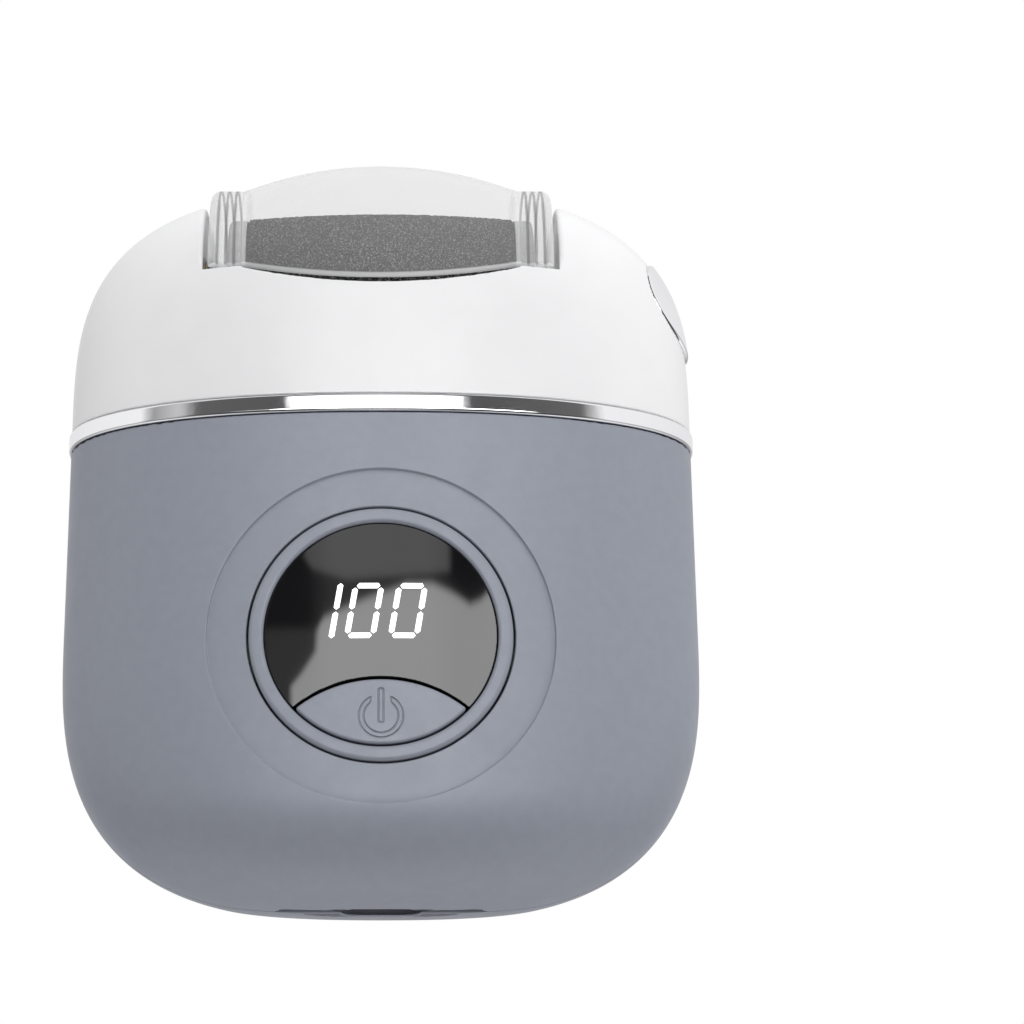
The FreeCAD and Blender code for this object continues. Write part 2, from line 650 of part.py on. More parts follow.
def barrel_profile(points, arc_points):
    arc = Part.Arc(arc_points[0], arc_points[1], arc_points[2]).toShape()
    sides = Part.makePolygon([arc_points[2]] + points + [arc_points[0]])
    return Part.Face(Part.Wire([arc] + sides.Edges))


def abrasive_sleeve():
    end_radius = ROLLER_RADIUS - ROLLER_CROWN
    crown = [VECTOR(-ROLLER_HALF, 0, ROLLER_Z + end_radius), VECTOR(0, 0, ROLLER_Z + ROLLER_RADIUS),
             VECTOR(ROLLER_HALF, 0, ROLLER_Z + end_radius)]
    inner = [VECTOR(ROLLER_HALF, 0, ROLLER_Z + SLEEVE_BORE), VECTOR(-ROLLER_HALF, 0, ROLLER_Z + SLEEVE_BORE)]
    return barrel_profile(inner, crown).revolve(VECTOR(0, 0, ROLLER_Z), X_AXIS, 360)


def roller_core():
    return ring_x(CORE_RADIUS, CORE_BORE, (-ROLLER_HALF + 0.05, ROLLER_HALF - 0.05), 0, ROLLER_Z)


def end_cap(side, plug_end):
    flange = rod_x(CAP_FLANGE, sorted((side * (ROLLER_HALF + 0.1), side * CAP_END)), 0, ROLLER_Z)
    flange = fillet_near(flange, 0.6, lambda p: abs(abs(p.x) - CAP_END) < 0.01)
    plug = rod_x(CAP_PLUG, sorted((side * plug_end, side * (ROLLER_HALF + 0.5))), 0, ROLLER_Z)
    return merged([flange, plug])


def drive_end_cap():
    return end_cap(-1, 11.0).cut(hex_x(SOCKET_FLATS, (-CAP_END - 1, -15.6)))


def idle_end_cap():
    cap = end_cap(1, 6.5)
    cap = cap.cut(rod_x(PIN_RADIUS + RUNNING_GAP, (10, CAP_END + 1), 0, ROLLER_Z))
    return cap.cut(rod_x(PIN_FLANGE + 0.15, (6, PIN_SHOULDER), 0, ROLLER_Z))


def plunger_seat():
    return rod_x(PIN_FLANGE + 0.1, (6.5, 8.0), 0, ROLLER_Z)


def idle_pin():
    flange = rod_x(PIN_FLANGE, (PIN_SHOULDER - 1.25, PIN_SHOULDER - 0.05), 0, ROLLER_Z)
    shaft = rod_x(PIN_RADIUS, (PIN_SHOULDER - 1.0, PIN_TIP), 0, ROLLER_Z)
    shaft = fillet_near(shaft, 0.6, lambda p: abs(p.x - PIN_TIP) < 0.01)
    return merged([flange, shaft])


def coil_spring(radius, wire, turns, x_range):
    length = x_range[1] - x_range[0]
    helix = Part.makeHelix(length / turns, length, radius)
    profile = Part.Wire(Part.makeCircle(wire, VECTOR(radius, 0, 0), Y_AXIS))
    coil = helix.makePipeShell([profile], True, True)
    coil.rotate(ORIGIN, Y_AXIS, 90)
    coil.translate(VECTOR(x_range[0], 0, ROLLER_Z))
    return coil


def plunger_spring():
    return coil_spring(2.3, 0.25, 5, (8.3, PIN_SHOULDER - 1.55))


def release_spring():
    return coil_spring(2.8, 0.25, 5, (SEAT_END + 0.3, SPRING_SEAT - 0.3))


def release_button():
    punch = rod_x(RELEASE_RADIUS, (26, 42), 0, RELEASE_Z)
    face = punch.common(form(-RELEASE_PROUD, 60, 86)).cut(form(1.7, 59, 86.5))
    face = fillet_near(face, 0.4, lambda p: p.x > half_width_at(p.y, p.z, 0.6))
    behind_wall = form(HEAD_WALL + RELEASE_GAP, 60, 86)
    rim = rod_x(RELEASE_RADIUS + RELEASE_RIM, (26, 42), 0, RELEASE_Z).common(behind_wall)
    rim = rim.cut(form(HEAD_WALL + 1.0, 59, 86.5)).cut(rod_x(SEAT_RADIUS, (20, SPRING_SEAT), 0, ROLLER_Z))
    seat = rod_x(SEAT_RADIUS, (SPRING_SEAT, SPRING_SEAT + 4.0), 0, ROLLER_Z).common(behind_wall)
    stem = rod_x(PIN_RADIUS, (PIN_TIP + 0.05, SPRING_SEAT + 2.2), 0, ROLLER_Z)
    return joined([face, rim, seat, stem])


def clear_cover():
    solid = cover_barrel(0.0).cut(cover_barrel(COVER_WALL))
    mouth = rod_x(COVER_END_RADIUS - COVER_WALL, (-25, 25), 0, COVER_Z)
    mouth = mouth.common(box((-25, 25), (-20, 20), (50, COVER_END_WALL_Z)))
    solid = solid.cut(mouth).cut(cover_underside())
    low_part = box((-25, 25), (-20, 20), (70, RIB_TOP))
    for x in RIB_GROOVES:
        for side in (-1, 1):
            x_range = (side * x - RIB_GROOVE_WIDTH / 2, side * x + RIB_GROOVE_WIDTH / 2)
            bottom = COVER_END_RADIUS - RIB_GROOVE_DEPTH
            groove = ring_x(COVER_END_RADIUS + 1, bottom, x_range, 0, COVER_Z)
            solid = solid.cut(groove.common(low_part))
    return solid


def cover_barrel(inset):
    radius = COVER_RADIUS - inset
    end = COVER_END_RADIUS - inset
    half = COVER_HALF - inset * 0.85
    barrel_end = COVER_RADIUS - COVER_SAG - inset
    corner = max(COVER_CORNER - inset, 0.3)
    arc = Part.Arc(VECTOR(-COVER_BARREL_HALF, 0, barrel_end), VECTOR(0, 0, radius),
                   VECTOR(COVER_BARREL_HALF, 0, barrel_end)).toShape()
    edges = [arc]
    bevel = corner * (1 - math.sqrt(0.5))
    for side in (-1, 1):
        x_in = side * COVER_BARREL_HALF
        x_turn = side * (half - corner)
        x_out = side * half
        edges.append(Part.makeLine(VECTOR(x_in, 0, barrel_end), VECTOR(x_turn, 0, end)))
        middle = VECTOR(side * (half - bevel), 0, end - bevel)
        edges.append(Part.Arc(VECTOR(x_turn, 0, end), middle, VECTOR(x_out, 0, end - corner)).toShape())
        edges.append(Part.makeLine(VECTOR(x_out, 0, end - corner), VECTOR(x_out, 0, 0)))
    edges.append(Part.makeLine(VECTOR(-half, 0, 0), VECTOR(half, 0, 0)))
    profile = Part.Face(Part.Wire(Part.sortEdges(edges)[0]))
    profile.translate(VECTOR(0, 0, COVER_Z))
    return profile.revolve(VECTOR(0, 0, COVER_Z), X_AXIS, 360)


def cover_underside():
    """Everything below the cover's lower rim, which sags in the middle like the channel."""
    half = COVER_BARREL_HALF
    arc = Part.Arc(VECTOR(-half, -20, COVER_RIM_END), VECTOR(0, -20, COVER_RIM_LOW),
                   VECTOR(half, -20, COVER_RIM_END)).toShape()
    corners = [(half, COVER_RIM_END), (25, COVER_RIM_END), (25, 55), (-25, 55), (-25, COVER_RIM_END),
               (-half, COVER_RIM_END)]
    sides = Part.makePolygon([VECTOR(x, -20, z) for x, z in corners])
    return Part.Face(Part.Wire([arc] + sides.Edges)).extrude(VECTOR(0, 40, 0))


def display_bezel():
    ring = disc_front(BEZEL_RADIUS).cut(disc_front(BEZEL_BORE))
    bezel = front_plate(ring, 0.03, 2.7)
    bezel = fillet_near(bezel, 0.45, is_bezel_front)
    flange = front_plate(disc_front(BEZEL_RADIUS + 1.6).cut(disc_front(BEZEL_BORE)), BODY_WALL + 0.1, 2.7)
    return joined([bezel, flange])


def is_bezel_front(p):
    return p.y < -half_depth_at(p.x, p.z, 0.3)


def half_depth_at(x, z, inset):
    share = abs(x) / half_width(z, inset)
    return half_depth(z, inset) * (1 - share ** SQUARENESS) ** (1 / SQUARENESS)


def half_width_at(y, z, inset):
    share = min(1.0, abs(y) / half_depth(z, inset))
    return half_width(z, inset) * (1 - share ** SQUARENESS) ** (1 / SQUARENESS)


def button_arc(gap):
    return disc_front(BUTTON_ARC_RADIUS + gap, BUTTON_ARC_Z)


def display_lens():
    punch = disc_front(LENS_RADIUS).cut(button_arc(BUTTON_GAP))
    return front_plate(punch, 0.14, 1.5).cut(digit_punches(-0.02))


def digit_punches(shrink):
    return Part.makeCompound(digit_bars(shrink))


def digit_bars(shrink):
    """The slanted bar segments of a one and two zeros, as prisms along Y."""
    bars = []
    half_stroke = DIGIT_STROKE / 2 - shrink
    rise = DIGIT_HEIGHT / 2
    for start in (ZERO_X, ZERO_X + DIGIT_PITCH):
        for x in (start, start + DIGIT_WIDTH):
            bars.append(upright_bar(x, DIGIT_GAP, rise - 0.55, half_stroke, shrink))
            bars.append(upright_bar(x, -rise + 0.55, -DIGIT_GAP, half_stroke, shrink))
        for z in (-rise + DIGIT_STROKE / 2, rise - DIGIT_STROKE / 2):
            bars.append(level_bar(start + 0.12, start + DIGIT_WIDTH - 0.12, z, half_stroke, shrink))
    bars.append(upright_bar(ONE_X, DIGIT_GAP, rise, half_stroke, shrink))
    bars.append(upright_bar(ONE_X, -rise, -DIGIT_GAP, half_stroke, shrink))
    return bars


def bar_prism(points):
    """Close a list of (x, z) points, slant it and push it through the front wall."""
    slanted = [VECTOR(DIGITS_X + x + z * DIGIT_SLANT, -HALF_DEPTH - 2, DIGITS_Z + z) for x, z in points]
    return Part.Face(Part.makePolygon(slanted + slanted[:1])).extrude(VECTOR(0, 4.2, 0))


def upright_bar(x, low, high, half, shrink):
    low += shrink
    high -= shrink
    tip = half * 0.8
    return bar_prism([(x, low), (x + half, low + tip), (x + half, high - tip), (x, high),
                      (x - half, high - tip), (x - half, low + tip)])


def level_bar(left, right, z, half, shrink):
    left += shrink
    right -= shrink
    tip = half * 0.8
    return bar_prism([(left, z), (left + tip, z - half), (right - tip, z - half), (right, z),
                      (right - tip, z + half), (left + tip, z + half)])


def lit_digits():
    outer = form(0.12, 5, BODY_TOP - 2)
    inner = form(0.8, 4, BODY_TOP - 1)
    return Part.makeCompound([bar.common(outer).cut(inner) for bar in digit_bars(0.0)])


def display_module():
    return box((-9.0, 9.0), (-12.1, BOARD_FRONT - 0.05), (25.8, 37.4))


def power_button():
    punch = disc_front(BUTTON_RADIUS).common(button_arc(0))
    face = front_plate(punch, 0.02, 3.2)
    face = fillet_near(face, 0.3, lambda p: p.y < -half_depth_at(p.x, p.z, 0.3))
    flange_punch = disc_front(BUTTON_RADIUS + 0.9).common(button_arc(0.9))
    flange = front_plate(flange_punch, 2.85, 3.5)
    return joined([face, flange]).cut(power_icon())


def power_icon():
    """A thin engraved outline around a broken ring and a bar, the sign for on and off."""
    radii = (ICON_RADIUS, ICON_RADIUS - ICON_STROKE)
    rings = joined([ring_y(r + ICON_GROOVE / 2, r - ICON_GROOVE / 2) for r in radii])
    wedge = box((-ICON_GAP, ICON_GAP), ICON_DEPTH, (ICON_Z, ICON_Z + 5))
    half = ICON_STROKE / 2
    bar = icon_bar(half + ICON_GROOVE / 2).cut(icon_bar(half - ICON_GROOVE / 2))
    return Part.makeCompound([rings.cut(wedge), bar])


def ring_y(outer, inner):
    return rod_y(outer, ICON_DEPTH, 0, ICON_Z).cut(rod_y(inner, ICON_DEPTH, 0, ICON_Z))


def icon_bar(half):
    low = ICON_Z + ICON_BAR[0]
    high = ICON_Z + ICON_BAR[1]
    middle = box((-half, half), ICON_DEPTH, (low, high))
    ends = [rod_y(half, ICON_DEPTH, 0, z) for z in (low, high)]
    return merged([middle] + ends)


def power_switch():
    body = box((-2.6, 2.6), (-9.9, BOARD_FRONT), (16.9, 22.1))
    return merged([body, rod_y(1.0, (-10.35, -9.8), 0, 19.5)])


def main_board():
    board = box((-17, 17), (BOARD_FRONT, BOARD_BACK), (12.5, BOARD_TOP))
    for x, z in BOARD_POINTS:
        board = board.cut(rod_y(0.9, (-10, -6), x, z))
    return board.common(SKIRT_SPACE)


def board_chips():
    controller = box((-3.5, 3.5), (BOARD_BACK + 0.02, BOARD_BACK + 1.1), (26, 33))
    charger = box((-9.0, -5.5), (BOARD_BACK + 0.02, BOARD_BACK + 1.1), (17, 21))
    driver = box((6.0, 9.0), (BOARD_BACK + 0.02, BOARD_BACK + 1.0), (35, 39))
    plug = box((-4.0, 4.0), (BOARD_BACK + 0.02, BOARD_BACK + 4.2), (38.0, 42.0))
    return Part.makeCompound([controller, charger, driver, plug])


def battery_pack():
    pack = box((-BATTERY_HALF, BATTERY_HALF), BATTERY_Y, BATTERY_Z)
    return pack.makeFillet(1.2, [e for e in pack.Edges if abs(e.tangentAt(e.FirstParameter).x) > 0.9])


def battery_guard():
    return box((-14, 14), (1.6, 7.4), (BATTERY_Z[0] - 1.15, BATTERY_Z[0] - 0.1))


def battery_pad():
    return box((-11, 11), (BATTERY_Y[1] + 0.05, BATTERY_Y[1] + 2.4), (19, 37))


def usb_shell():
    outer = usb_punch(USB_SHELL, (1.0, 7.8))
    inner = usb_punch((USB_SHELL[0] - 0.6, USB_SHELL[1] - 0.6), (0, 7.2))
    return outer.cut(inner)


def usb_tongue():
    return box((-3.3, 3.3), (-0.35, 0.35), (1.8, 7.15))


def usb_board():
    front = USB_SHELL[1] / 2 + 0.05
    return box((-7.5, 7.5), (front, front + 0.8), (3.6, 11.0)).common(SKIRT_SPACE)


NODES = {
    "front_shell": front_shell,
    "rear_shell": rear_shell,
    "chrome_band": chrome_band,
    "head_shell": head_shell,
    "roller_cradle": roller_cradle,
    "cradle_screws": cradle_screws,
    "chassis": chassis,
    "chassis_screws": chassis_screws,
    "abrasive_sleeve": abrasive_sleeve,
    "roller_core": roller_core,
    "drive_end_cap": drive_end_cap,
    "idle_end_cap": idle_end_cap,
    "plunger_seat": plunger_seat,
    "plunger_spring": plunger_spring,
    "idle_pin": idle_pin,
    "drive_spindle": drive_spindle,
    "spindle_bush": spindle_bush,
    "shaft_seal": shaft_seal,
    "driven_gear": driven_gear,
    "compound_gear": compound_gear,
    "compound_gear_pin": compound_pin,
    "gear_plate": gear_plate,
    "gear_plate_screws": plate_screws,
    "gear_cover": gear_cover,
    "gear_cover_screws": gear_cover_screws,
    "motor_can": motor_can,
    "motor_end_cap": motor_end_cap,
    "motor_rotor": motor_rotor,
    "motor_shaft": motor_shaft,
    "motor_pinion": motor_pinion,
    "motor_screws": motor_screws,
    "clear_cover": clear_cover,
    "release_button": release_button,
    "release_spring": release_spring,
    "display_bezel": display_bezel,
    "display_lens": display_lens,
    "lit_digits": lit_digits,
    "display_module": display_module,
    "power_button": power_button,
    "power_switch": power_switch,
    "main_board": main_board,
    "board_chips": board_chips,
    "board_screws": board_screws,
    "battery_pack": battery_pack,
    "battery_guard_board": battery_guard,
    "battery_pad": battery_pad,
    "usb_shell": usb_shell,
    "usb_tongue": usb_tongue,
    "usb_board": usb_board,
}

os.makedirs("parts", exist_ok=True)
for name, make in NODES.items():
    shape = make()
    shape.exportStep("parts/" + name + ".step")
    print(name, "solids", len(shape.Solids), "valid", shape.isValid(), "volume", round(shape.Volume, 2))
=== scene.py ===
import json
import math

import bpy
import numpy as np
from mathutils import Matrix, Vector


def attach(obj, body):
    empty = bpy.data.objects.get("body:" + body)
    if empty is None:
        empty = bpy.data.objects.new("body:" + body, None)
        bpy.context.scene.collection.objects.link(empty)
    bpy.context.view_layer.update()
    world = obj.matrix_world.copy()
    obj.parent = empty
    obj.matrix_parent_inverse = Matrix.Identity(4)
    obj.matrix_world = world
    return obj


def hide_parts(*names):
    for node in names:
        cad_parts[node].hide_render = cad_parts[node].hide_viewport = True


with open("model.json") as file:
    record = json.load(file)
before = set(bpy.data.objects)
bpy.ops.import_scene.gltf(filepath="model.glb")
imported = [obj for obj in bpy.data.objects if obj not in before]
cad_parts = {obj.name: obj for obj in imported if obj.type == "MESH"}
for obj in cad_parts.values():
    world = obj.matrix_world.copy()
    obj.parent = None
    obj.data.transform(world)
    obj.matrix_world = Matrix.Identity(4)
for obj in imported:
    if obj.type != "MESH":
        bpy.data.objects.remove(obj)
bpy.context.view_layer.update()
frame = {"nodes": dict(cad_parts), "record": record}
NODES = frame["nodes"]
RECORD = frame["record"]
SCENE = bpy.context.scene

MM = 0.001
TURNS = 480

# Driving sizes of the object, in millimetres
HALF_WIDTH, HALF_DEPTH, SQUARENESS = 37.5, 14.5, 2.2
BASE_WIDTH, BASE_DEPTH = (33.0, 33.6, 3.0), (12.0, 12.4, 2.3)
DOME_WIDTH, DOME_DEPTH = (60.0, 30.3, 3.1), (62.0, 28.3, 3.0)
BODY_WALL, HEAD_WALL, SEAM_GAP, LIP_DEPTH = 1.8, 1.5, 0.2, 1.2
SEAM_LIP, SEAM_GROOVE, GROOVE_SPARE, LIP_ROOT, FOOT_ROUND = 0.95, 0.8, 0.15, 1.5, 0.9
BODY_TOP, BAND_BOTTOM, BAND_TOP, HEAD_BOTTOM = 56.1, 56.18, 58.38, 58.5
BAND_PROUD, BAND_ROUND, BAND_INSET = 0.3, 0.35, 1.85
SKIRT_BOTTOM, SKIRT_INSET, SKIRT_INNER, COLLAR_INSET, COLLAR_RISE = 52.0, 1.95, 2.7, 0.75, 1.2
CHANNEL_HALF, CHANNEL_ARC_HALF, CHANNEL_SHELF = 21.4, 16.5, 75.8
CHANNEL_ARC_RADIUS, CHANNEL_ARC_LOW = 54.5, 73.0
CHANNEL_WALL, CHANNEL_WALL_BOTTOM, CAVITY_TOP = 1.2, 66.3, 88.0
ROLLER_Z, ROLLER_RADIUS, ROLLER_HALF, ROLLER_CROWN, SLEEVE_BORE = 78.0, 10.0, 16.3, 0.7, 8.6
PIN_RADIUS, PIN_TIP, PIN_HOLE, SPINDLE_HOLE, HOLE_END = 2.0, 23.45, 2.06, 3.85, 26.0
COVER_Z, COVER_RADIUS, COVER_BARREL_HALF, COVER_SAG = 78.3, 15.4, 16.3, 2.9
COVER_END_RADIUS, COVER_HALF, COVER_WALL, COVER_CORNER = 12.35, 20.8, 1.2, 1.1
COVER_RIM_LOW, COVER_RIM_END, COVER_END_WALL_Z = 73.7, 76.2, 81.2
RIB_DEPTH, RIB_START, RIB_PITCH, RIB_TOP = 0.45, 17.65, 1.0, 86.0
RIB_WALL, RIB_FIRST, RIB_LAST = 16.75, 17.0, 20.1
DISPLAY_Z, RECESS_RADIUS, RECESS_DEPTH = 29.1, 19.9, 0.35
BEZEL_RADIUS, BEZEL_HOLE, BEZEL_BORE, BEZEL_LOW = 15.05, 15.3, 13.35, 0.03
LENS_RADIUS, LENS_LOW, LENS_DOME, LENS_BACK = 13.25, 0.14, 0.22, 1.5
BUTTON_RADIUS, BUTTON_ARC_RADIUS, BUTTON_ARC_Z = 13.1, 15.5, 8.05
BUTTON_GAP, BUTTON_LOW, BUTTON_BACK = 0.3, 0.02, 3.0
RELEASE_Z, RELEASE_RADIUS, RELEASE_PROUD, RELEASE_GAP = 75.0, 6.2, 0.5, 0.08
RELEASE_RIM, RELEASE_INNER, RELEASE_HOLE_START = 0.8, 23.0, 27.0
RELEASE_FACE_BACK, RELEASE_RIM_FRONT, RELEASE_RIM_BACK = 1.7, 1.65, 2.5
USB_STRAIGHT, USB_ROUND, USB_POCKET, USB_EDGE, USB_DEPTH = 2.9, 1.7, 0.7, 0.3, 4.0
DIGIT_HEIGHT, DIGIT_WIDTH, DIGIT_PITCH, DIGIT_STROKE, DIGIT_GAP = 6.6, 2.93, 4.96, 0.64, 0.12
DIGIT_SLANT, DIGITS_X, DIGITS_Z = math.tan(math.radians(9.3)), -0.1, 31.7
DIGIT_CORNER, DIGIT_SIDE, DIGIT_DEPTHS = 0.55, 0.12, (0.11, 0.8)
ZERO_X, ONE_X = -3.25, -5.0
ICON_Z, ICON_RADIUS, ICON_STROKE, ICON_GAP, ICON_GROOVE, ICON_DEPTH = 19.2, 2.5, 0.55, 1.15, 0.17, 0.16
ICON_BAR = (-0.75, 3.2)
GRAIN, GRAIN_LIMIT, GRIT_LOW = 0.075, 2.0, 0.28


# ---------------------------------------------------------------- camera
# seen from a little below, as in the photograph, with the object left of the middle
CAMERA_PLACE, CAMERA_RISE = (0.0, -0.3109, -0.0695), 19.6
LENS_LENGTH, CAMERA_SHIFT = 97.1, (0.128, 0.0604)


def make_camera():
    """The camera of the main picture."""
    data = bpy.data.cameras.new("camera")
    cam = bpy.data.objects.new("camera", data)
    SCENE.collection.objects.link(cam)
    SCENE.camera = cam
    rise = math.radians(CAMERA_RISE)
    cam.location = CAMERA_PLACE
    cam.rotation_mode = "QUATERNION"
    cam.rotation_quaternion = Vector((0, math.cos(rise), math.sin(rise))).to_track_quat("-Z", "Y")
    data.lens = LENS_LENGTH
    data.sensor_width = 36.0
    data.shift_x, data.shift_y = CAMERA_SHIFT
    data.clip_start, data.clip_end = 0.01, 20.0
    SCENE.view_settings.view_transform = "Standard"


make_camera()


# ---------------------------------------------------------------- outer form as a distance field
def drop(amount, rise, power):
    """A factor that falls from 1 to 0 along a rounded curve as amount goes from 0 to rise."""
    share = np.clip(amount / rise, 0.0, 0.99999)
    return (1 - share ** power) ** (1 / power)


def half_sizes(z):
    """Half the width and half the depth of the oval section at height z."""
    a = HALF_WIDTH * drop(BASE_WIDTH[0] - z, *BASE_WIDTH[1:]) * drop(z - DOME_WIDTH[0], *DOME_WIDTH[1:])
    b = HALF_DEPTH * drop(BASE_DEPTH[0] - z, *BASE_DEPTH[1:]) * drop(z - DOME_DEPTH[0], *DOME_DEPTH[1:])
    return a, b


def form(p):
    """Distance from the outer form, below zero inside it, good near its surface."""
    x, y, z = np.abs(p[..., 0]), np.abs(p[..., 1]), p[..., 2]
    a, b = half_sizes(z)
    e = 0.01
    a1, b1 = half_sizes(z + e)
    n = SQUARENESS
    u, v = x / a, y / b
    s = np.maximum(u ** n + v ** n, 1e-9) ** (1 / n)
    gx = (u / s) ** (n - 1) / a
    gy = (v / s) ** (n - 1) / b
    gz = gx * u * (a1 - a) / e + gy * v * (b1 - b) / e
    return (s - 1) / np.sqrt(gx ** 2 + gy ** 2 + gz ** 2 + 1e-12)


def front_y(x, z):
    """Depth of the outer form's front at (x, z), as a positive distance from the seam."""
    a, b = half_sizes(z)
    return b * np.maximum(1 - (np.abs(x) / a) ** SQUARENESS, 0.0) ** (1 / SQUARENESS)


def both(a, b, r=0.0):
    """Inside a and inside b, with the edge rounded by r."""
    if np.ndim(r) == 0 and r == 0:
        return np.maximum(a, b)
    bent = np.sqrt(np.maximum(a + r, 0) ** 2 + np.maximum(b + r, 0) ** 2)
    return np.minimum(np.maximum(a, b), -r) + bent


def without(a, b, r=0.0):
    """Inside a and outside b, with the edge rounded by r."""
    return both(a, -b, r)


def either(a, b, r=0.0):
    """Inside a or inside b, with the inner corner filled by r."""
    return -both(-a, -b, r)


def circle(p, i, j, ci, cj, radius):
    """Distance from an endless round bar across the plane of axes i and j."""
    return np.hypot(p[..., i] - ci, p[..., j] - cj) - radius


def charging_slot(p):
    """The slot through the foot, wider behind a thin edge."""
    z = p[..., 2]
    slot = np.hypot(np.maximum(np.abs(p[..., 0]) - USB_STRAIGHT, 0), p[..., 1]) - USB_ROUND
    return both(either(slot, both(slot - USB_POCKET, USB_EDGE - z)), z - USB_DEPTH)


def base_shell(p, side):
    """What both halves of the body share: distances and the space inside the wall."""
    d = form(p)
    z = p[..., 2]
    y = p[..., 1] * side
    inside = both(d + BODY_WALL, BODY_WALL - z, 0.5)
    return d, y, z, inside


def front_shell(p):
    """The front half: display recess and hole, a groove for the lip, and the slot."""
    d, y, z, inside = base_shell(p, -1)
    ring = circle(p, 0, 2, 0, DISPLAY_Z, RECESS_RADIUS)
    floor_of_recess = both(ring, -(d + RECESS_DEPTH), 0.14)
    skin = without(d, floor_of_recess, 0.16)
    skin = both(both(skin, -z, FOOT_ROUND), z - BODY_TOP, 0.15)
    wall = without(skin, inside, 0.2)
    wall = without(wall, circle(p, 0, 2, 0, DISPLAY_Z, BEZEL_HOLE), 0.16)
    wall = both(wall, SEAM_GAP / 2 - y, 0.12)
    groove = both(d + SEAM_GROOVE, y - LIP_DEPTH - GROOVE_SPARE)
    wall = without(wall, groove)
    return without(wall, charging_slot(p), 0.1)


def rear_shell(p):
    """The rear half, with the lip that reaches into the front one."""
    d, y, z, inside = base_shell(p, 1)
    skin = both(both(d, -z, FOOT_ROUND), z - BODY_TOP, 0.15)
    half = both(without(skin, inside, 0.2), SEAM_GAP / 2 - y, 0.12)
    lip = both(both(d + SEAM_LIP, -(d + BODY_WALL)), both(-y - LIP_DEPTH, y - LIP_ROOT))
    lip = both(both(lip, z - BODY_TOP + LIP_DEPTH), SEAM_LIP - z)
    return without(either(half, lip), charging_slot(p), 0.1)


def channel(p):
    """The space cut through the head for the roller: an arched middle and two side bays on a shelf."""
    x, z = np.abs(p[..., 0]), p[..., 2]
    arc = np.hypot(x, z - CHANNEL_ARC_LOW - CHANNEL_ARC_RADIUS) - CHANNEL_ARC_RADIUS
    return either(both(arc, x - CHANNEL_ARC_HALF), both(CHANNEL_SHELF - z, x - CHANNEL_HALF), 0.3)


def head_shell(p):
    """The head: a dome with the roller channel, a skirt into the body, and three holes."""
    d = form(p)
    x, z = p[..., 0], p[..., 2]
    wide = np.abs(x)
    walls = both(both(wide - CHANNEL_HALF - CHANNEL_WALL, CHANNEL_HALF - wide), CHANNEL_WALL_BOTTOM - z)
    cavity = without(both(d + HEAD_WALL, z - CAVITY_TOP), walls, 0.4)
    solid = without(both(d, HEAD_BOTTOM - z, 0.2), cavity, 0.2)
    tall = np.clip((z - CHANNEL_SHELF) / 2, 0, 1)
    solid = without(solid, channel(p), 0.15 + 0.55 * tall)
    below = z - HEAD_BOTTOM - COLLAR_RISE
    collar = both(both(d + COLLAR_INSET, -(d + SKIRT_INNER)), both(HEAD_BOTTOM - z, below))
    skirt = both(both(d + SKIRT_INSET, -(d + SKIRT_INNER)), both(SKIRT_BOTTOM - z, below))
    solid = either(solid, either(collar, skirt))
    pin = circle(p, 1, 2, 0, ROLLER_Z, PIN_HOLE)
    spindle = circle(p, 1, 2, 0, ROLLER_Z, SPINDLE_HOLE)
    solid = without(solid, both(pin, both(-x, x - HOLE_END)), 0.2)
    solid = without(solid, both(spindle, both(x, -x - HOLE_END)), 0.2)
    button = circle(p, 1, 2, 0, RELEASE_Z, RELEASE_RADIUS + RELEASE_GAP)
    return without(solid, both(button, RELEASE_HOLE_START - x), 0.12)


def cover_barrel(p, inset):
    """The solid form of the cover, a bulged barrel between two drums, taken in by inset."""
    x, r = np.abs(p[..., 0]), np.hypot(p[..., 1], p[..., 2] - COVER_Z)
    arc = (COVER_BARREL_HALF ** 2 + COVER_SAG ** 2) / (2 * COVER_SAG)
    barrel = both(np.hypot(x, r - COVER_RADIUS + arc) - arc + inset, x - COVER_BARREL_HALF - 1.5)
    corner = max(COVER_CORNER - inset, 0.3)
    ends = both(x - COVER_HALF + inset * 0.85, r - COVER_END_RADIUS + inset, corner)
    return either(barrel, ends, 0.3)


def clear_cover(p):
    """The wall of the cover: open ends below, ribs on the drums, and an arched lower rim."""
    x, z = np.abs(p[..., 0]), p[..., 2]
    r = np.hypot(p[..., 1], z - COVER_Z)
    wall = without(cover_barrel(p, 0.0), cover_barrel(p, COVER_WALL), 0.1)
    mouth = both(r - COVER_END_RADIUS + COVER_WALL, z - COVER_END_WALL_Z, 0.3)
    wall = without(wall, mouth, 0.2)
    fade = np.clip((RIB_TOP - z) / 1.2, 0, 1) * np.clip((x - RIB_FIRST) / 0.3, 0, 1)
    fade = fade * np.clip((RIB_LAST - x) / 0.3, 0, 1)
    ribs = RIB_DEPTH * fade * (0.5 + 0.5 * np.cos(2 * np.pi * (x - RIB_START) / RIB_PITCH)) ** 2
    wall = np.where(x > RIB_WALL, np.maximum(wall, (r - COVER_END_RADIUS + ribs) * 0.6), wall)
    sag = COVER_RIM_END - COVER_RIM_LOW
    arc = (COVER_BARREL_HALF ** 2 + sag ** 2) / (2 * sag)
    keep = either(np.hypot(x, z - COVER_RIM_LOW - arc) - arc, COVER_RIM_END - z, 0.2)
    return both(wall, keep, 0.35)


def display_bezel(p):
    """The ring round the display, flush with the form."""
    d = form(p)
    bore = circle(p, 0, 2, 0, DISPLAY_Z, BEZEL_BORE)
    ring = without(both(circle(p, 0, 2, 0, DISPLAY_Z, BEZEL_RADIUS), d + BEZEL_LOW, 0.45), bore, 0.45)
    return both(ring, -(d + SKIRT_INNER), 0.1)


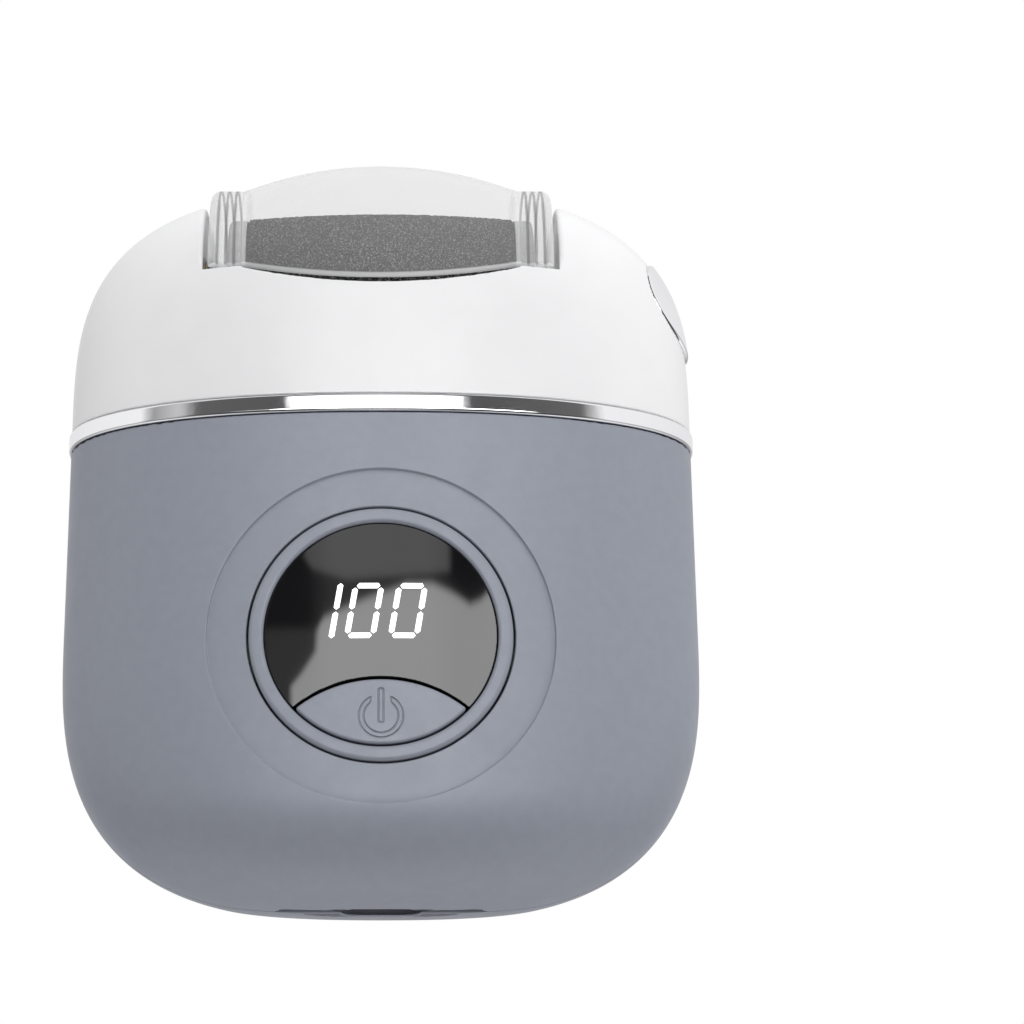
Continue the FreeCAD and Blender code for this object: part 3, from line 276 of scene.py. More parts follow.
def display_lens(p):
    """The black plate in the ring, cut away along the button."""
    d = form(p)
    button = circle(p, 0, 2, 0, BUTTON_ARC_Z, BUTTON_ARC_RADIUS + BUTTON_GAP)
    plate = without(circle(p, 0, 2, 0, DISPLAY_Z, LENS_RADIUS), button)
    dome = LENS_DOME * (circle(p, 0, 2, 0, DISPLAY_Z, 0) / LENS_RADIUS) ** 2
    return both(both(plate, d + LENS_LOW + dome, 0.1), -(d + LENS_BACK))


def power_button(p):
    """The key below the display, with its power mark as a fine groove."""
    d = form(p)
    x, z = p[..., 0], p[..., 2]
    plate = both(circle(p, 0, 2, 0, DISPLAY_Z, BUTTON_RADIUS),
                 circle(p, 0, 2, 0, BUTTON_ARC_Z, BUTTON_ARC_RADIUS), 0.3)
    face = both(plate, d + BUTTON_LOW, 0.3)
    rise = z - ICON_Z
    ring = np.hypot(x, rise)
    band = np.abs(ring - ICON_RADIUS + ICON_STROKE / 2) - ICON_STROKE / 2
    opening = both(np.abs(x) - ICON_GAP, -rise)
    ring_shape = without(band, opening, 0.1)
    bar_mid = (ICON_BAR[0] + ICON_BAR[1]) / 2
    bar_half = (ICON_BAR[1] - ICON_BAR[0]) / 2
    bar = both(np.abs(x) - ICON_STROKE / 2, np.abs(rise - bar_mid) - bar_half, 0.15)
    outline = np.abs(either(ring_shape, bar)) - ICON_GROOVE / 2
    face = without(face, both(outline, -(d + BUTTON_LOW + ICON_DEPTH)), 0.05)
    return both(face, -(d + BUTTON_BACK))


def release_button(p):
    """The shiny crowned button at the side: face, hidden rim and stem."""
    d = form(p)
    x = p[..., 0]
    proud = RELEASE_PROUD * np.clip(1.1 - (p[..., 1] / RELEASE_RADIUS) ** 2, 0, 1)
    face = both(circle(p, 1, 2, 0, RELEASE_Z, RELEASE_RADIUS), d - proud, 0.2)
    face = both(face, -(d + RELEASE_FACE_BACK))
    rim = both(circle(p, 1, 2, 0, RELEASE_Z, RELEASE_RADIUS + RELEASE_RIM),
               both(d + RELEASE_RIM_FRONT, -(d + RELEASE_RIM_BACK)))
    stem = both(circle(p, 1, 2, 0, ROLLER_Z, PIN_RADIUS), both(PIN_TIP - x, d + 1.0))
    return both(either(either(face, rim), stem), RELEASE_INNER - x)


# ---------------------------------------------------------------- surfaces out of fields
def gradient(field, p, e=0.01):
    """Central differences of a field at points p."""
    g = np.empty_like(p)
    for i in range(3):
        step = np.zeros(3)
        step[i] = e
        g[..., i] = (field(p + step) - field(p - step)) / (2 * e)
    return g


def cell_edges(values, grid, axis, wrap):
    """Crossed grid edges along one axis: their start indices, crossing points and direction."""
    nxt = np.roll(values, -1, axis)
    nxt_p = np.roll(grid, -1, axis)
    crossed = (values < 0) != (nxt < 0)
    if not (wrap and axis == 0):
        last = [slice(None)] * 3
        last[axis] = -1
        crossed[tuple(last)] = False
    where = np.argwhere(crossed)
    v0, v1 = values[crossed], nxt[crossed]
    t = (v0 / (v0 - v1))[:, None]
    return where, grid[crossed] * (1 - t) + nxt_p[crossed] * t, v0 < 0


def net(grid, field, wrap):
    """A closed quad mesh where the field is zero, with one point in each crossed cell of the grid."""
    values = field(grid)
    n = np.array(values.shape)
    total = int(n.prod())
    sums = np.zeros((total, 3))
    counts = np.zeros(total)
    quads = []
    for axis in range(3):
        where, at, out = cell_edges(values, grid, axis, wrap)
        j, k = (axis + 1) % 3, (axis + 2) % 3
        corners = []
        for dj, dk in ((-1, -1), (0, -1), (0, 0), (-1, 0)):
            cell = where.copy()
            cell[:, j] += dj
            cell[:, k] += dk
            if wrap:
                cell[:, 0] %= n[0]
            ids = (cell[:, 0] * n[1] + cell[:, 1]) * n[2] + cell[:, 2]
            for c in range(3):
                sums[:, c] += np.bincount(ids, at[:, c], total)
            counts += np.bincount(ids, minlength=total)
            corners.append(ids)
        quad = np.stack(corners, 1)
        quad[~out] = quad[~out][:, ::-1]
        quads.append(quad)
    used = counts > 0
    points = sums[used] / counts[used, None]
    number = np.cumsum(used) - 1
    quads = number[np.concatenate(quads)]
    for _ in range(3):
        g = gradient(field, points)
        size = np.maximum((g ** 2).sum(1), 0.05)
        move = -(field(points) / size)[:, None] * g
        length = np.linalg.norm(move, axis=1)[:, None]
        points = points + move * np.minimum(1, 0.25 / np.maximum(length, 1e-9))
    g = gradient(field, points, 0.02)
    return points, quads, g / np.maximum(np.linalg.norm(g, axis=1)[:, None], 1e-9)


def steps(*spans):
    """Grid positions from (start, end, step) spans that follow on from each other."""
    out = []
    for start, end, step in spans:
        count = max(1, round((end - start) / step))
        out.extend(start + (end - start) * i / count for i in range(count))
    out.append(spans[-1][1])
    return np.array(out)


def cartesian(xs, ys, zs):
    """A box grid of points."""
    return np.stack(np.meshgrid(xs, ys, zs, indexing="ij"), -1)


def mirrored(spans):
    """Steps that run through zero, the same on both sides."""
    right = steps(*spans)
    return np.concatenate([-right[:0:-1], right])


def make_piece(name, points, faces, normals, mat, body, nodes):
    """One shown piece from points in millimetres, placed on its body."""
    mesh = bpy.data.meshes.new(name)
    mesh.vertices.add(len(points))
    mesh.vertices.foreach_set("co", (np.asarray(points, np.float32) * MM).ravel())
    faces = np.asarray(faces, np.int32)
    sides = faces.shape[1]
    mesh.loops.add(faces.size)
    mesh.loops.foreach_set("vertex_index", faces.ravel())
    mesh.polygons.add(len(faces))
    mesh.polygons.foreach_set("loop_start", np.arange(0, faces.size, sides, dtype=np.int32))
    mesh.polygons.foreach_set("use_smooth", np.ones(len(faces), bool))
    mesh.update(calc_edges=True)
    mesh.validate(clean_customdata=False)
    if normals is not None:
        mesh.normals_split_custom_set_from_vertices(np.asarray(normals, np.float32))
    obj = bpy.data.objects.new(name, mesh)
    SCENE.collection.objects.link(obj)
    obj.data.materials.append(mat)
    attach(obj, body)
    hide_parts(*nodes)
    return obj


def front_polar(radii, turns, depths):
    """A grid of radius and angle about the display's axis, and depth from the form's front."""
    angle = np.linspace(0, 2 * np.pi, turns, endpoint=False)
    rr, tt, dd = np.meshgrid(radii, angle, depths, indexing="ij")
    x, z = rr * np.cos(tt), DISPLAY_Z + rr * np.sin(tt)
    return np.stack([x, dd - front_y(x, z), z], -1).transpose(1, 0, 2, 3)


def boxed_polar(turns, depths):
    """Circles about the display that turn into the outline of the body's front, by depth."""
    angle = np.linspace(0, 2 * np.pi, turns, endpoint=False)
    c, s = np.cos(angle), np.sin(angle)
    up = np.where(s > 0, BODY_TOP + 0.8 - DISPLAY_Z, DISPLAY_Z + 0.8)
    across = (HALF_WIDTH + 0.9) / np.maximum(np.abs(c), 1e-6)
    edge = np.minimum(across, up / np.maximum(np.abs(s), 1e-6))
    near = steps((14.7, 15.9, 0.12), (15.9, 19.3, 0.45), (19.3, 20.5, 0.1))
    share = np.linspace(0, 1, 66)[1:]
    far = near[-1] + (edge[:, None] - near[-1]) * share[None, :]
    rr = np.concatenate([np.repeat(near[None, :], turns, 0), far], 1)
    x = rr * c[:, None]
    z = DISPLAY_Z + rr * s[:, None]
    count = len(depths)
    return np.stack([np.repeat(x[:, :, None], count, 2),
                     np.broadcast_to(depths, (*x.shape, count)),
                     np.repeat(z[:, :, None], count, 2)], -1)


def follow_front(xs, zs, depths):
    """A grid over (x, z) whose depth is counted from the front of the form."""
    xx, dd, zz = np.meshgrid(xs, depths, zs, indexing="ij")
    return np.stack([xx, dd - front_y(xx, zz), zz], -1)


def cover_grid():
    """A grid along X and round the cover's axis, open below where the cover has no wall."""
    angle = np.radians(np.arange(-27.0, 207.1, 0.8))
    radii = steps((1.6, 10.4, 0.4), (10.4, 15.9, 0.15))
    xs = mirrored([(0.0, 16.2, 0.36), (16.2, 21.1, 0.1)])
    xx, rr, tt = np.meshgrid(xs, radii, angle, indexing="ij")
    return np.stack([xx, rr * np.cos(tt), COVER_Z + rr * np.sin(tt)], -1)


# ---------------------------------------------------------------- materials
def new_material(name):
    """An empty node material with one Principled shader."""
    mat = bpy.data.materials.new(name)
    mat.use_nodes = True
    tree = mat.node_tree
    tree.nodes.clear()
    out = tree.nodes.new("ShaderNodeOutputMaterial")
    shader = tree.nodes.new("ShaderNodeBsdfPrincipled")
    tree.links.new(shader.outputs[0], out.inputs["Surface"])
    return mat, tree, shader, out


def noise(tree, scale, detail=3.0):
    """Noise in object coordinates."""
    where = tree.nodes.new("ShaderNodeTexCoord")
    node = tree.nodes.new("ShaderNodeTexNoise")
    node.inputs["Scale"].default_value = scale
    node.inputs["Detail"].default_value = detail
    tree.links.new(where.outputs["Object"], node.inputs["Vector"])
    return node.outputs["Fac"]


def ramp(tree, source, stops):
    """Colours or values blended along a source, from (place, value) stops."""
    node = tree.nodes.new("ShaderNodeValToRGB")
    bar = node.color_ramp
    while len(bar.elements) < len(stops):
        bar.elements.new(0.5)
    for element, (at, value) in zip(bar.elements, stops):
        element.position = at
        if not isinstance(value, (tuple, list)):
            value = (value,) * 3
        element.color = (*value, 1)
    tree.links.new(source, node.inputs["Fac"])
    return node.outputs["Color"]


def link_math(tree, kind, a, b=None):
    """A math node on sockets or plain numbers."""
    node = tree.nodes.new("ShaderNodeMath")
    node.operation = kind
    for socket, value in zip(node.inputs, (a, b)):
        if value is None:
            continue
        if isinstance(value, (int, float)):
            socket.default_value = value
        else:
            tree.links.new(value, socket)
    return node.outputs[0]


def plain(name, colour, rough, metal=0.0, spread=0.08, scale=900.0, grain=0.0, grain_scale=2500.0,
          coat=0.0, ior=1.5):
    """A surface with slightly uneven colour and roughness, and a fine grain."""
    mat, tree, shader, _ = new_material(name)
    blotch = noise(tree, scale)
    low = [c * (1 - spread) for c in colour]
    high = [min(1.0, c * (1 + spread)) for c in colour]
    tree.links.new(ramp(tree, blotch, ((0.35, low), (0.65, high))), shader.inputs["Base Color"])
    wear = noise(tree, scale * 0.37)
    worn = ramp(tree, wear, ((0.3, rough * 0.9), (0.7, min(1.0, rough * 1.1))))
    tree.links.new(worn, shader.inputs["Roughness"])
    shader.inputs["Metallic"].default_value = metal
    shader.inputs["Coat Weight"].default_value = coat
    shader.inputs["Coat Roughness"].default_value = 0.05
    shader.inputs["IOR"].default_value = ior
    if grain:
        bump = tree.nodes.new("ShaderNodeBump")
        bump.inputs["Strength"].default_value = grain
        bump.inputs["Distance"].default_value = 0.00002
        tree.links.new(noise(tree, grain_scale, 2.0), bump.inputs["Height"])
        tree.links.new(bump.outputs["Normal"], shader.inputs["Normal"])
    return mat


def abrasive_material():
    """Dark mineral grit: mottled, with sparse painted glints as bright specks in its colour."""
    mat, tree, shader, _ = new_material("abrasive_grit")
    grit = noise(tree, 4300.0, 2.0)
    base = ramp(tree, grit, ((0.40, 0.0), (0.5, 0.005), (0.68, 0.2)))
    where = tree.nodes.new("ShaderNodeTexCoord")
    cells = tree.nodes.new("ShaderNodeTexVoronoi")
    cells.inputs["Scale"].default_value = 3000.0
    tree.links.new(where.outputs["Object"], cells.inputs["Vector"])
    # painted glints: small bright spots mixed into the grit colour where grains would catch light
    glint = ramp(tree, cells.outputs["Distance"], ((0.0, 1.0), (0.24, 0.0)))
    sparse = ramp(tree, noise(tree, 2000.0, 1.0), ((0.5, 0.0), (0.55, 1.0)))
    mix = tree.nodes.new("ShaderNodeMix")
    mix.data_type = "RGBA"
    tree.links.new(link_math(tree, "MULTIPLY", glint, sparse), mix.inputs["Factor"])
    tree.links.new(base, mix.inputs["A"])
    mix.inputs["B"].default_value = (0.75, 0.75, 0.78, 1)
    tree.links.new(mix.outputs["Result"], shader.inputs["Base Color"])
    bump = tree.nodes.new("ShaderNodeBump")
    bump.inputs["Strength"].default_value = 0.9
    bump.inputs["Distance"].default_value = 0.00015
    tree.links.new(grit, bump.inputs["Height"])
    tree.links.new(bump.outputs["Normal"], shader.inputs["Normal"])
    shader.inputs["Roughness"].default_value = 0.75
    return mat


def outer_face(tree, wide, y, z):
    """1 on the outside of the clear cover, 0 on its inside and on its edges below half the wall."""
    up = link_math(tree, "SUBTRACT", z, COVER_Z)
    radius = length_of(tree, y, up)
    arc = (COVER_BARREL_HALF ** 2 + COVER_SAG ** 2) / (2 * COVER_SAG)
    bulge = length_of(tree, wide, link_math(tree, "ADD", radius, arc - COVER_RADIUS))
    barrel = link_math(tree, "GREATER_THAN", bulge, arc - COVER_WALL / 2)
    drum = link_math(tree, "GREATER_THAN", radius, COVER_END_RADIUS - COVER_WALL / 2)
    side = link_math(tree, "GREATER_THAN", wide, COVER_HALF - COVER_WALL / 2)
    end = link_math(tree, "MAXIMUM", drum, side)
    on_end = link_math(tree, "GREATER_THAN", wide, COVER_BARREL_HALF + 0.1)
    return choose(tree, on_end, barrel, end)


def length_of(tree, a, b):
    """The length of (a, b)."""
    squares = link_math(tree, "ADD", link_math(tree, "MULTIPLY", a, a), link_math(tree, "MULTIPLY", b, b))
    return link_math(tree, "SQRT", squares)


def choose(tree, share, a, b):
    """a where share is 0, b where it is 1."""
    left = link_math(tree, "MULTIPLY", link_math(tree, "SUBTRACT", 1.0, share), a)
    return link_math(tree, "ADD", left, link_math(tree, "MULTIPLY", share, b))


def clear_material():
    """Clear moulded plastic: it lets the view through with a little haze, more at grazing angles and
    across its ribbed ends; painted highlights as bright lines at the drums' edges and along its rim, and
    painted shade as dark lines in the rib grooves.
    """
    mat, tree, shader, out = new_material("clear_moulded")
    shader.inputs["Roughness"].default_value = 0.3
    shader.inputs["Specular IOR Level"].default_value = 0.15
    haze = ramp(tree, noise(tree, 300.0), ((0.3, (0.90, 0.905, 0.91)), (0.7, (0.95, 0.952, 0.955))))
    tree.links.new(haze, shader.inputs["Base Color"])
    where = tree.nodes.new("ShaderNodeTexCoord")
    size = tree.nodes.new("ShaderNodeVectorMath")
    size.operation = "SCALE"
    size.inputs["Scale"].default_value = 1000.0
    tree.links.new(where.outputs["Object"], size.inputs[0])
    split = tree.nodes.new("ShaderNodeSeparateXYZ")
    tree.links.new(size.outputs[0], split.inputs[0])
    x, y, z = split.outputs
    wide = link_math(tree, "ABSOLUTE", x)
    outer = outer_face(tree, wide, y, z)
    edge = tree.nodes.new("ShaderNodeLayerWeight")
    edge.inputs["Blend"].default_value = 0.35
    share = ramp(tree, edge.outputs["Facing"], ((0.0, 0.165), (0.6, 0.175), (0.88, 0.26), (1.0, 0.45)))
    # a little more haze across the ribbed drums, with painted highlights as bright lines at their inner
    # and outer edges
    across = link_math(tree, "DIVIDE", link_math(tree, "SUBTRACT", wide, 16.0), 5.0)
    drum_haze_painted_edge_lines = ramp(tree, across, ((0.0, 0.0), (0.1, 0.14), (0.25, 0.04), (0.8, 0.08), (0.96, 0.3)))
    share = link_math(tree, "MULTIPLY", link_math(tree, "ADD", share, drum_haze_painted_edge_lines), outer)
    sag = COVER_RIM_END - COVER_RIM_LOW
    arc = (COVER_BARREL_HALF ** 2 + sag ** 2) / (2 * sag)
    up = link_math(tree, "SUBTRACT", z, COVER_RIM_LOW + arc)
    depth = link_math(tree, "SUBTRACT", arc, length_of(tree, wide, up))
    on_end = link_math(tree, "GREATER_THAN", wide, COVER_BARREL_HALF)
    height = choose(tree, on_end, depth, link_math(tree, "SUBTRACT", z, COVER_RIM_END))
    # painted highlight: a bright line of white haze along the cover's cut lower rim
    rim = ramp(tree, height, ((0.0, 0.6), (0.15, 0.5), (0.28, 0.0)))
    total = link_math(tree, "MINIMUM", link_math(tree, "ADD", share, rim), 1.0)
    see = tree.nodes.new("ShaderNodeBsdfTransparent")
    # painted shade: dark lines darken the see-through colour along each rib groove of the drums
    start = link_math(tree, "SUBTRACT", wide, RIB_START - RIB_PITCH / 2)
    groove = link_math(tree, "FRACT", link_math(tree, "DIVIDE", start, RIB_PITCH))
    away = link_math(tree, "ABSOLUTE", link_math(tree, "SUBTRACT", groove, 0.5))
    painted_groove_line = ramp(tree, away, ((0.10, 1.0), (0.20, 0.0)))
    along = link_math(tree, "DIVIDE", wide, 25.0)
    ribbed = ramp(tree, along, ((0.684, 0.0), (0.69, 1.0), (0.796, 1.0), (0.80, 0.0)))
    painted_groove_shade = link_math(tree, "MULTIPLY", link_math(tree, "MULTIPLY", painted_groove_line, ribbed), outer)
    clear = choose(tree, outer, 0.995, 0.945)
    see_through_with_painted_groove_shade = link_math(tree, "SUBTRACT", clear, link_math(tree, "MULTIPLY", painted_groove_shade, 0.6))
    grey = tree.nodes.new("ShaderNodeCombineColor")
    for socket in grey.inputs[:3]:
        tree.links.new(see_through_with_painted_groove_shade, socket)
    tree.links.new(grey.outputs[0], see.inputs["Color"])
    mix = tree.nodes.new("ShaderNodeMixShader")
    tree.links.new(total, mix.inputs["Fac"])
    tree.links.new(see.outputs[0], mix.inputs[1])
    tree.links.new(shader.outputs[0], mix.inputs[2])
    tree.links.new(mix.outputs[0], out.inputs["Surface"])
    return mat


def lit_material():
    """White light behind a diffuser."""
    mat, tree, shader, _ = new_material("lit_white")
    glow = ramp(tree, noise(tree, 500.0), ((0.3, (0.93, 0.97, 1.0)), (0.7, (1.0, 1.0, 1.0))))
    tree.links.new(glow, shader.inputs["Base Color"])
    tree.links.new(glow, shader.inputs["Emission Color"])
    shader.inputs["Emission Strength"].default_value = 1.1
    shader.inputs["Roughness"].default_value = 0.5
    return mat


GREY = (0.262, 0.280, 0.330)
MATERIALS = {
    "grey_plastic": plain("grey_plastic", GREY, 0.42, spread=0.02, scale=700.0, grain=0.35,
                          grain_scale=5200.0),
    "white_gloss": plain("white_gloss", (0.81, 0.81, 0.82), 0.22, spread=0.01, scale=200.0),
    "chrome_trim": plain("chrome_trim", (0.90, 0.90, 0.92), 0.05, 1.0, 0.01, 240.0, 0.4, 420.0),
    "clear_plastic": clear_material(),
    "abrasive": abrasive_material(),
    "cap_plastic": plain("cap_plastic", (0.42, 0.42, 0.43), 0.5, grain=0.3),
    "dark_plastic": plain("dark_plastic", (0.02, 0.02, 0.023), 0.5, grain=0.3),
    "black_gloss": plain("black_gloss", (0.004, 0.004, 0.005), 0.04, spread=0.2, scale=150.0),
    "lit_white": lit_material(),
    "gear_plastic": plain("gear_plastic", (0.72, 0.70, 0.64), 0.45, spread=0.04),
    "brass": plain("brass", (0.66, 0.53, 0.33), 0.3, 1.0, 0.06),
    "steel": plain("steel", (0.60, 0.61, 0.63), 0.28, 1.0, 0.06),
    "zinc_steel": plain("zinc_steel", (0.66, 0.67, 0.68), 0.38, 1.0, 0.08),
    "rotor_iron": plain("rotor_iron", (0.30, 0.28, 0.27), 0.5, 1.0, 0.1),
    "seal_rubber": plain("seal_rubber", (0.02, 0.02, 0.02), 0.8, grain=0.4),
    "foam": plain("foam", (0.07, 0.07, 0.075), 0.95, grain=1.0, grain_scale=1800.0),
    "board_green": plain("board_green", (0.015, 0.13, 0.05), 0.35, spread=0.15, scale=600.0),
    "chip_black": plain("chip_black", (0.02, 0.02, 0.02), 0.6, grain=0.3),
    "battery_foil": plain("battery_foil", (0.55, 0.56, 0.58), 0.35, 1.0, 0.05, 400.0, 0.5, 500.0),
}


# ---------------------------------------------------------------- pieces from fields
def add(name, node, grid, field, body, slot, wrap=False):
    """One piece netted out of a field, in place of its CAD node."""
    points, quads, normals = net(grid, field, wrap)
    return make_piece(name, points, quads, normals, MATERIALS[slot], body, (node,))


def add_shells():
    """Both halves of the body, and the head, finer where the button sits."""
    depths = -steps((-0.2, 1.7, 0.12), (1.7, 11.6, 0.45), (11.6, 15.2, 0.2))[::-1]
    add("front_shell_skin", "front_shell", boxed_polar(TURNS, depths), front_shell,
        "housing", "grey_plastic", wrap=True)
    xs = mirrored([(0.0, 7.0, 0.28), (7.0, 38.4, 0.5)])
    ys = steps((-1.7, 1.7, 0.12), (1.7, 15.2, 0.42))
    zs = steps((-0.2, 1.1, 0.1), (1.1, 4.4, 0.3), (4.4, 55.6, 0.55), (55.6, 56.6, 0.12))
    add("rear_shell_skin", "rear_shell", cartesian(xs, ys, zs), rear_shell, "housing", "grey_plastic")
    left = steps((0.0, 15.6, 0.5), (15.6, 22.9, 0.2), (22.9, 38.3, 0.36))
    right = steps((0.0, 15.6, 0.5), (15.6, 22.9, 0.2), (22.9, 29.6, 0.36), (29.6, 36.8, 0.16),
                  (36.8, 38.3, 0.36))
    xs = np.concatenate([-left[:0:-1], right])
    ys = mirrored([(0.0, 7.0, 0.16), (7.0, 15.0, 0.32)])
    zs = steps((51.6, 58.2, 0.6), (58.2, 59.9, 0.13), (59.9, 68.2, 0.45), (68.2, 81.8, 0.16),
               (81.8, 90.2, 0.28))
    add("head_shell_skin", "head_shell", cartesian(xs, ys, zs), head_shell, "housing", "white_gloss")


def add_display():
    """Bezel, lens and power key."""
    deep = steps((-0.15, 0.65, 0.07), (0.65, 3.0, 0.35))
    radii = steps((13.0, 15.4, 0.09))
    add("display_bezel_ring", "display_bezel", front_polar(radii, TURNS, deep), display_bezel,
        "housing", "grey_plastic", wrap=True)
    shallow = steps((-0.1, 0.6, 0.06), (0.6, 1.8, 0.3))
    xs = mirrored([(0.0, 13.6, 0.13)])
    zs = steps((20.5, 42.7, 0.13))
    add("display_lens_plate", "display_lens", follow_front(xs, zs, shallow), display_lens,
        "housing", "black_gloss")
    deep = steps((-0.15, 0.5, 0.05), (0.5, 3.3, 0.35))
    xs = mirrored([(0.0, 3.2, 0.07), (3.2, 12.3, 0.14)])
    zs = steps((15.6, 16.2, 0.12), (16.2, 22.4, 0.07), (22.4, 24.0, 0.12))
    add("power_button_face", "power_button", follow_front(xs, zs, deep), power_button,
        "power_key", "grey_plastic")


def add_moving():
    """The clear cover and the release button."""
    add("clear_cover_wall", "clear_cover", cover_grid(), clear_cover, "cover", "clear_plastic")
    xs = steps((22.8, 32.0, 0.3), (32.0, 39.0, 0.14))
    side = mirrored([(0.0, 8.0, 0.2)])
    add("release_button_cap", "release_button", cartesian(xs, side, side + RELEASE_Z), release_button,
        "release_key", "chrome_trim")


# ---------------------------------------------------------------- swept pieces
def ring_of_quads(rows, columns):
    """Quads over a closed grid of points, row by row."""
    i, j = np.meshgrid(np.arange(rows), np.arange(columns), indexing="ij")
    i, j = i.ravel(), j.ravel()
    i1, j1 = (i + 1) % rows, (j + 1) % columns
    return np.stack([i * columns + j, i1 * columns + j, i1 * columns + j1, i * columns + j1], 1)


def band_profile():
    """Closed (offset, z, normal) outline of the trim band, with rounded outer edges."""
    rows = []
    low, high = BAND_BOTTOM, BAND_TOP
    out, inner, r = BAND_PROUD, -BAND_INSET, BAND_ROUND
    for at in np.linspace(inner, out - r, 5)[:-1]:
        rows.append((at, low, 0.0, -1.0))
    for a in np.linspace(-90, 0, 13):
        c, s = math.cos(math.radians(a)), math.sin(math.radians(a))
        rows.append((out - r + r * c, low + r + r * s, c, s))
    for a in np.linspace(0, 90, 13):
        c, s = math.cos(math.radians(a)), math.sin(math.radians(a))
        rows.append((out - r + r * c, high - r + r * s, c, s))
    for at in np.linspace(out - r, inner, 5)[1:]:
        rows.append((at, high, 0.0, 1.0))
    return np.array(rows)


def add_band():
    """The trim band: its profile swept round the waist."""
    turns = 900
    t = np.linspace(0, 2 * np.pi, turns, endpoint=False)
    n = SQUARENESS
    c, s = np.cos(t), np.sin(t)
    k = 1 / (np.abs(c) ** n + np.abs(s) ** n) ** (1 / n)
    x, y = HALF_WIDTH * c * k, HALF_DEPTH * s * k
    nx = np.sign(x) * (np.abs(x) / HALF_WIDTH) ** (n - 1) / HALF_WIDTH
    ny = np.sign(y) * (np.abs(y) / HALF_DEPTH) ** (n - 1) / HALF_DEPTH
    length = np.hypot(nx, ny)
    nx, ny = nx / length, ny / length
    rows = band_profile()
    off, z, nr, nz = rows.T
    points = np.stack([x[:, None] + nx[:, None] * off, y[:, None] + ny[:, None] * off,
                       np.broadcast_to(z, (turns, len(z)))], -1).reshape(-1, 3)
    normals = np.stack([nx[:, None] * nr, ny[:, None] * nr, np.broadcast_to(nz, (turns, len(z)))], -1)
    quads = ring_of_quads(turns, len(rows))
    make_piece("chrome_band_ring", points, quads, normals.reshape(-1, 3), MATERIALS["chrome_trim"],
               "housing", ("chrome_band",))


def add_sleeve():
    """The grit cylinder: a crowned sleeve whose outer face is covered in grains."""
    rng = np.random.default_rng(7)
    turns = 400
    half = ROLLER_HALF
    profile = [(-half, SLEEVE_BORE, 0.0), (-half, ROLLER_RADIUS - ROLLER_CROWN - 0.5, 0.0)]
    for x in np.linspace(-half + 0.25, half - 0.25, 210):
        profile.append((x, ROLLER_RADIUS - ROLLER_CROWN * (x / half) ** 2 - GRIT_LOW, 1.0))
    profile += [(half, ROLLER_RADIUS - ROLLER_CROWN - 0.5, 0.0), (half, SLEEVE_BORE, 0.0)]
    profile = np.array(profile)
    t = np.linspace(0, 2 * np.pi, turns, endpoint=False)
    grain = rng.normal(0, 1, (turns, len(profile)))
    grain = np.sign(grain) * np.minimum(np.abs(grain), GRAIN_LIMIT) * GRAIN * profile[:, 2]
    r = profile[:, 1] + grain
    points = np.stack([np.broadcast_to(profile[:, 0], r.shape), r * np.cos(t)[:, None],
                       ROLLER_Z + r * np.sin(t)[:, None]], -1).reshape(-1, 3)
    quads = ring_of_quads(turns, len(profile))[:, ::-1]
    make_piece("abrasive_sleeve_grit", points, quads, None, MATERIALS["abrasive"], "roller",
               ("abrasive_sleeve",))


def bar_outline(kind, at, low, high, half):
    """The six corners of one bar of a digit, pointed at both ends."""
    tip = half * 0.8
    if kind == "upright":
        return [(at, low), (at + half, low + tip), (at + half, high - tip), (at, high),
                (at - half, high - tip), (at - half, low + tip)]
    return [(low, at), (low + tip, at - half), (high - tip, at - half), (high, at),
            (high - tip, at + half), (low + tip, at + half)]


def digit_bars():
    """The lit bars of 1, 0 and 0 as outlines in (x, z)."""
    half, rise = DIGIT_STROKE / 2, DIGIT_HEIGHT / 2
    bars = []
    for start in (ZERO_X, ZERO_X + DIGIT_PITCH):
        for x in (start, start + DIGIT_WIDTH):
            bars.append(bar_outline("upright", x, DIGIT_GAP, rise - DIGIT_CORNER, half))
            bars.append(bar_outline("upright", x, -rise + DIGIT_CORNER, -DIGIT_GAP, half))
        for z in (-rise + half, rise - half):
            low, high = start + DIGIT_SIDE, start + DIGIT_WIDTH - DIGIT_SIDE
            bars.append(bar_outline("level", z, low, high, half))
    bars.append(bar_outline("upright", ONE_X, DIGIT_GAP, rise, half))
    bars.append(bar_outline("upright", ONE_X, -rise, -DIGIT_GAP, half))
    return bars


def add_digits():
    """The bars as thin prisms that stand a hair out of the lens."""
    points, faces = [], []
    for bar in digit_bars():
        flat = np.array([(DIGITS_X + x + z * DIGIT_SLANT, DIGITS_Z + z) for x, z in bar])
        dome = LENS_DOME * (np.hypot(flat[:, 0], flat[:, 1] - DISPLAY_Z) / LENS_RADIUS) ** 2
        first = len(points)
        for inset in DIGIT_DEPTHS:
            y = -front_y(flat[:, 0], flat[:, 1]) + inset + dome
            points += [(a, b, c) for (a, c), b in zip(flat, y)]
        f = [first + i for i in range(6)]
        b = [i + 6 for i in f]
        faces += [(f[0], f[1], f[2], f[3]), (f[0], f[3], f[4], f[5])]
        faces += [(b[3], b[2], b[1], b[0]), (b[5], b[4], b[3], b[0])]
        faces += [(f[i], b[i], b[(i + 1) % 6], f[(i + 1) % 6]) for i in range(6)]
    piece = make_piece("lit_digits_bars", points, faces, None, MATERIALS["lit_white"], "housing",
                       ("lit_digits",))
    for polygon in piece.data.polygons:
        polygon.use_smooth = False


# ---------------------------------------------------------------- inner parts and their finish
def finish_nodes():
    """Every CAD part gets the material of its slot."""
    slot_of = {row["node"]: row["material_slot"] for row in RECORD["subparts"]}
    for name, obj in NODES.items():
        obj.data.materials.clear()
        obj.data.materials.append(MATERIALS[slot_of[name]])


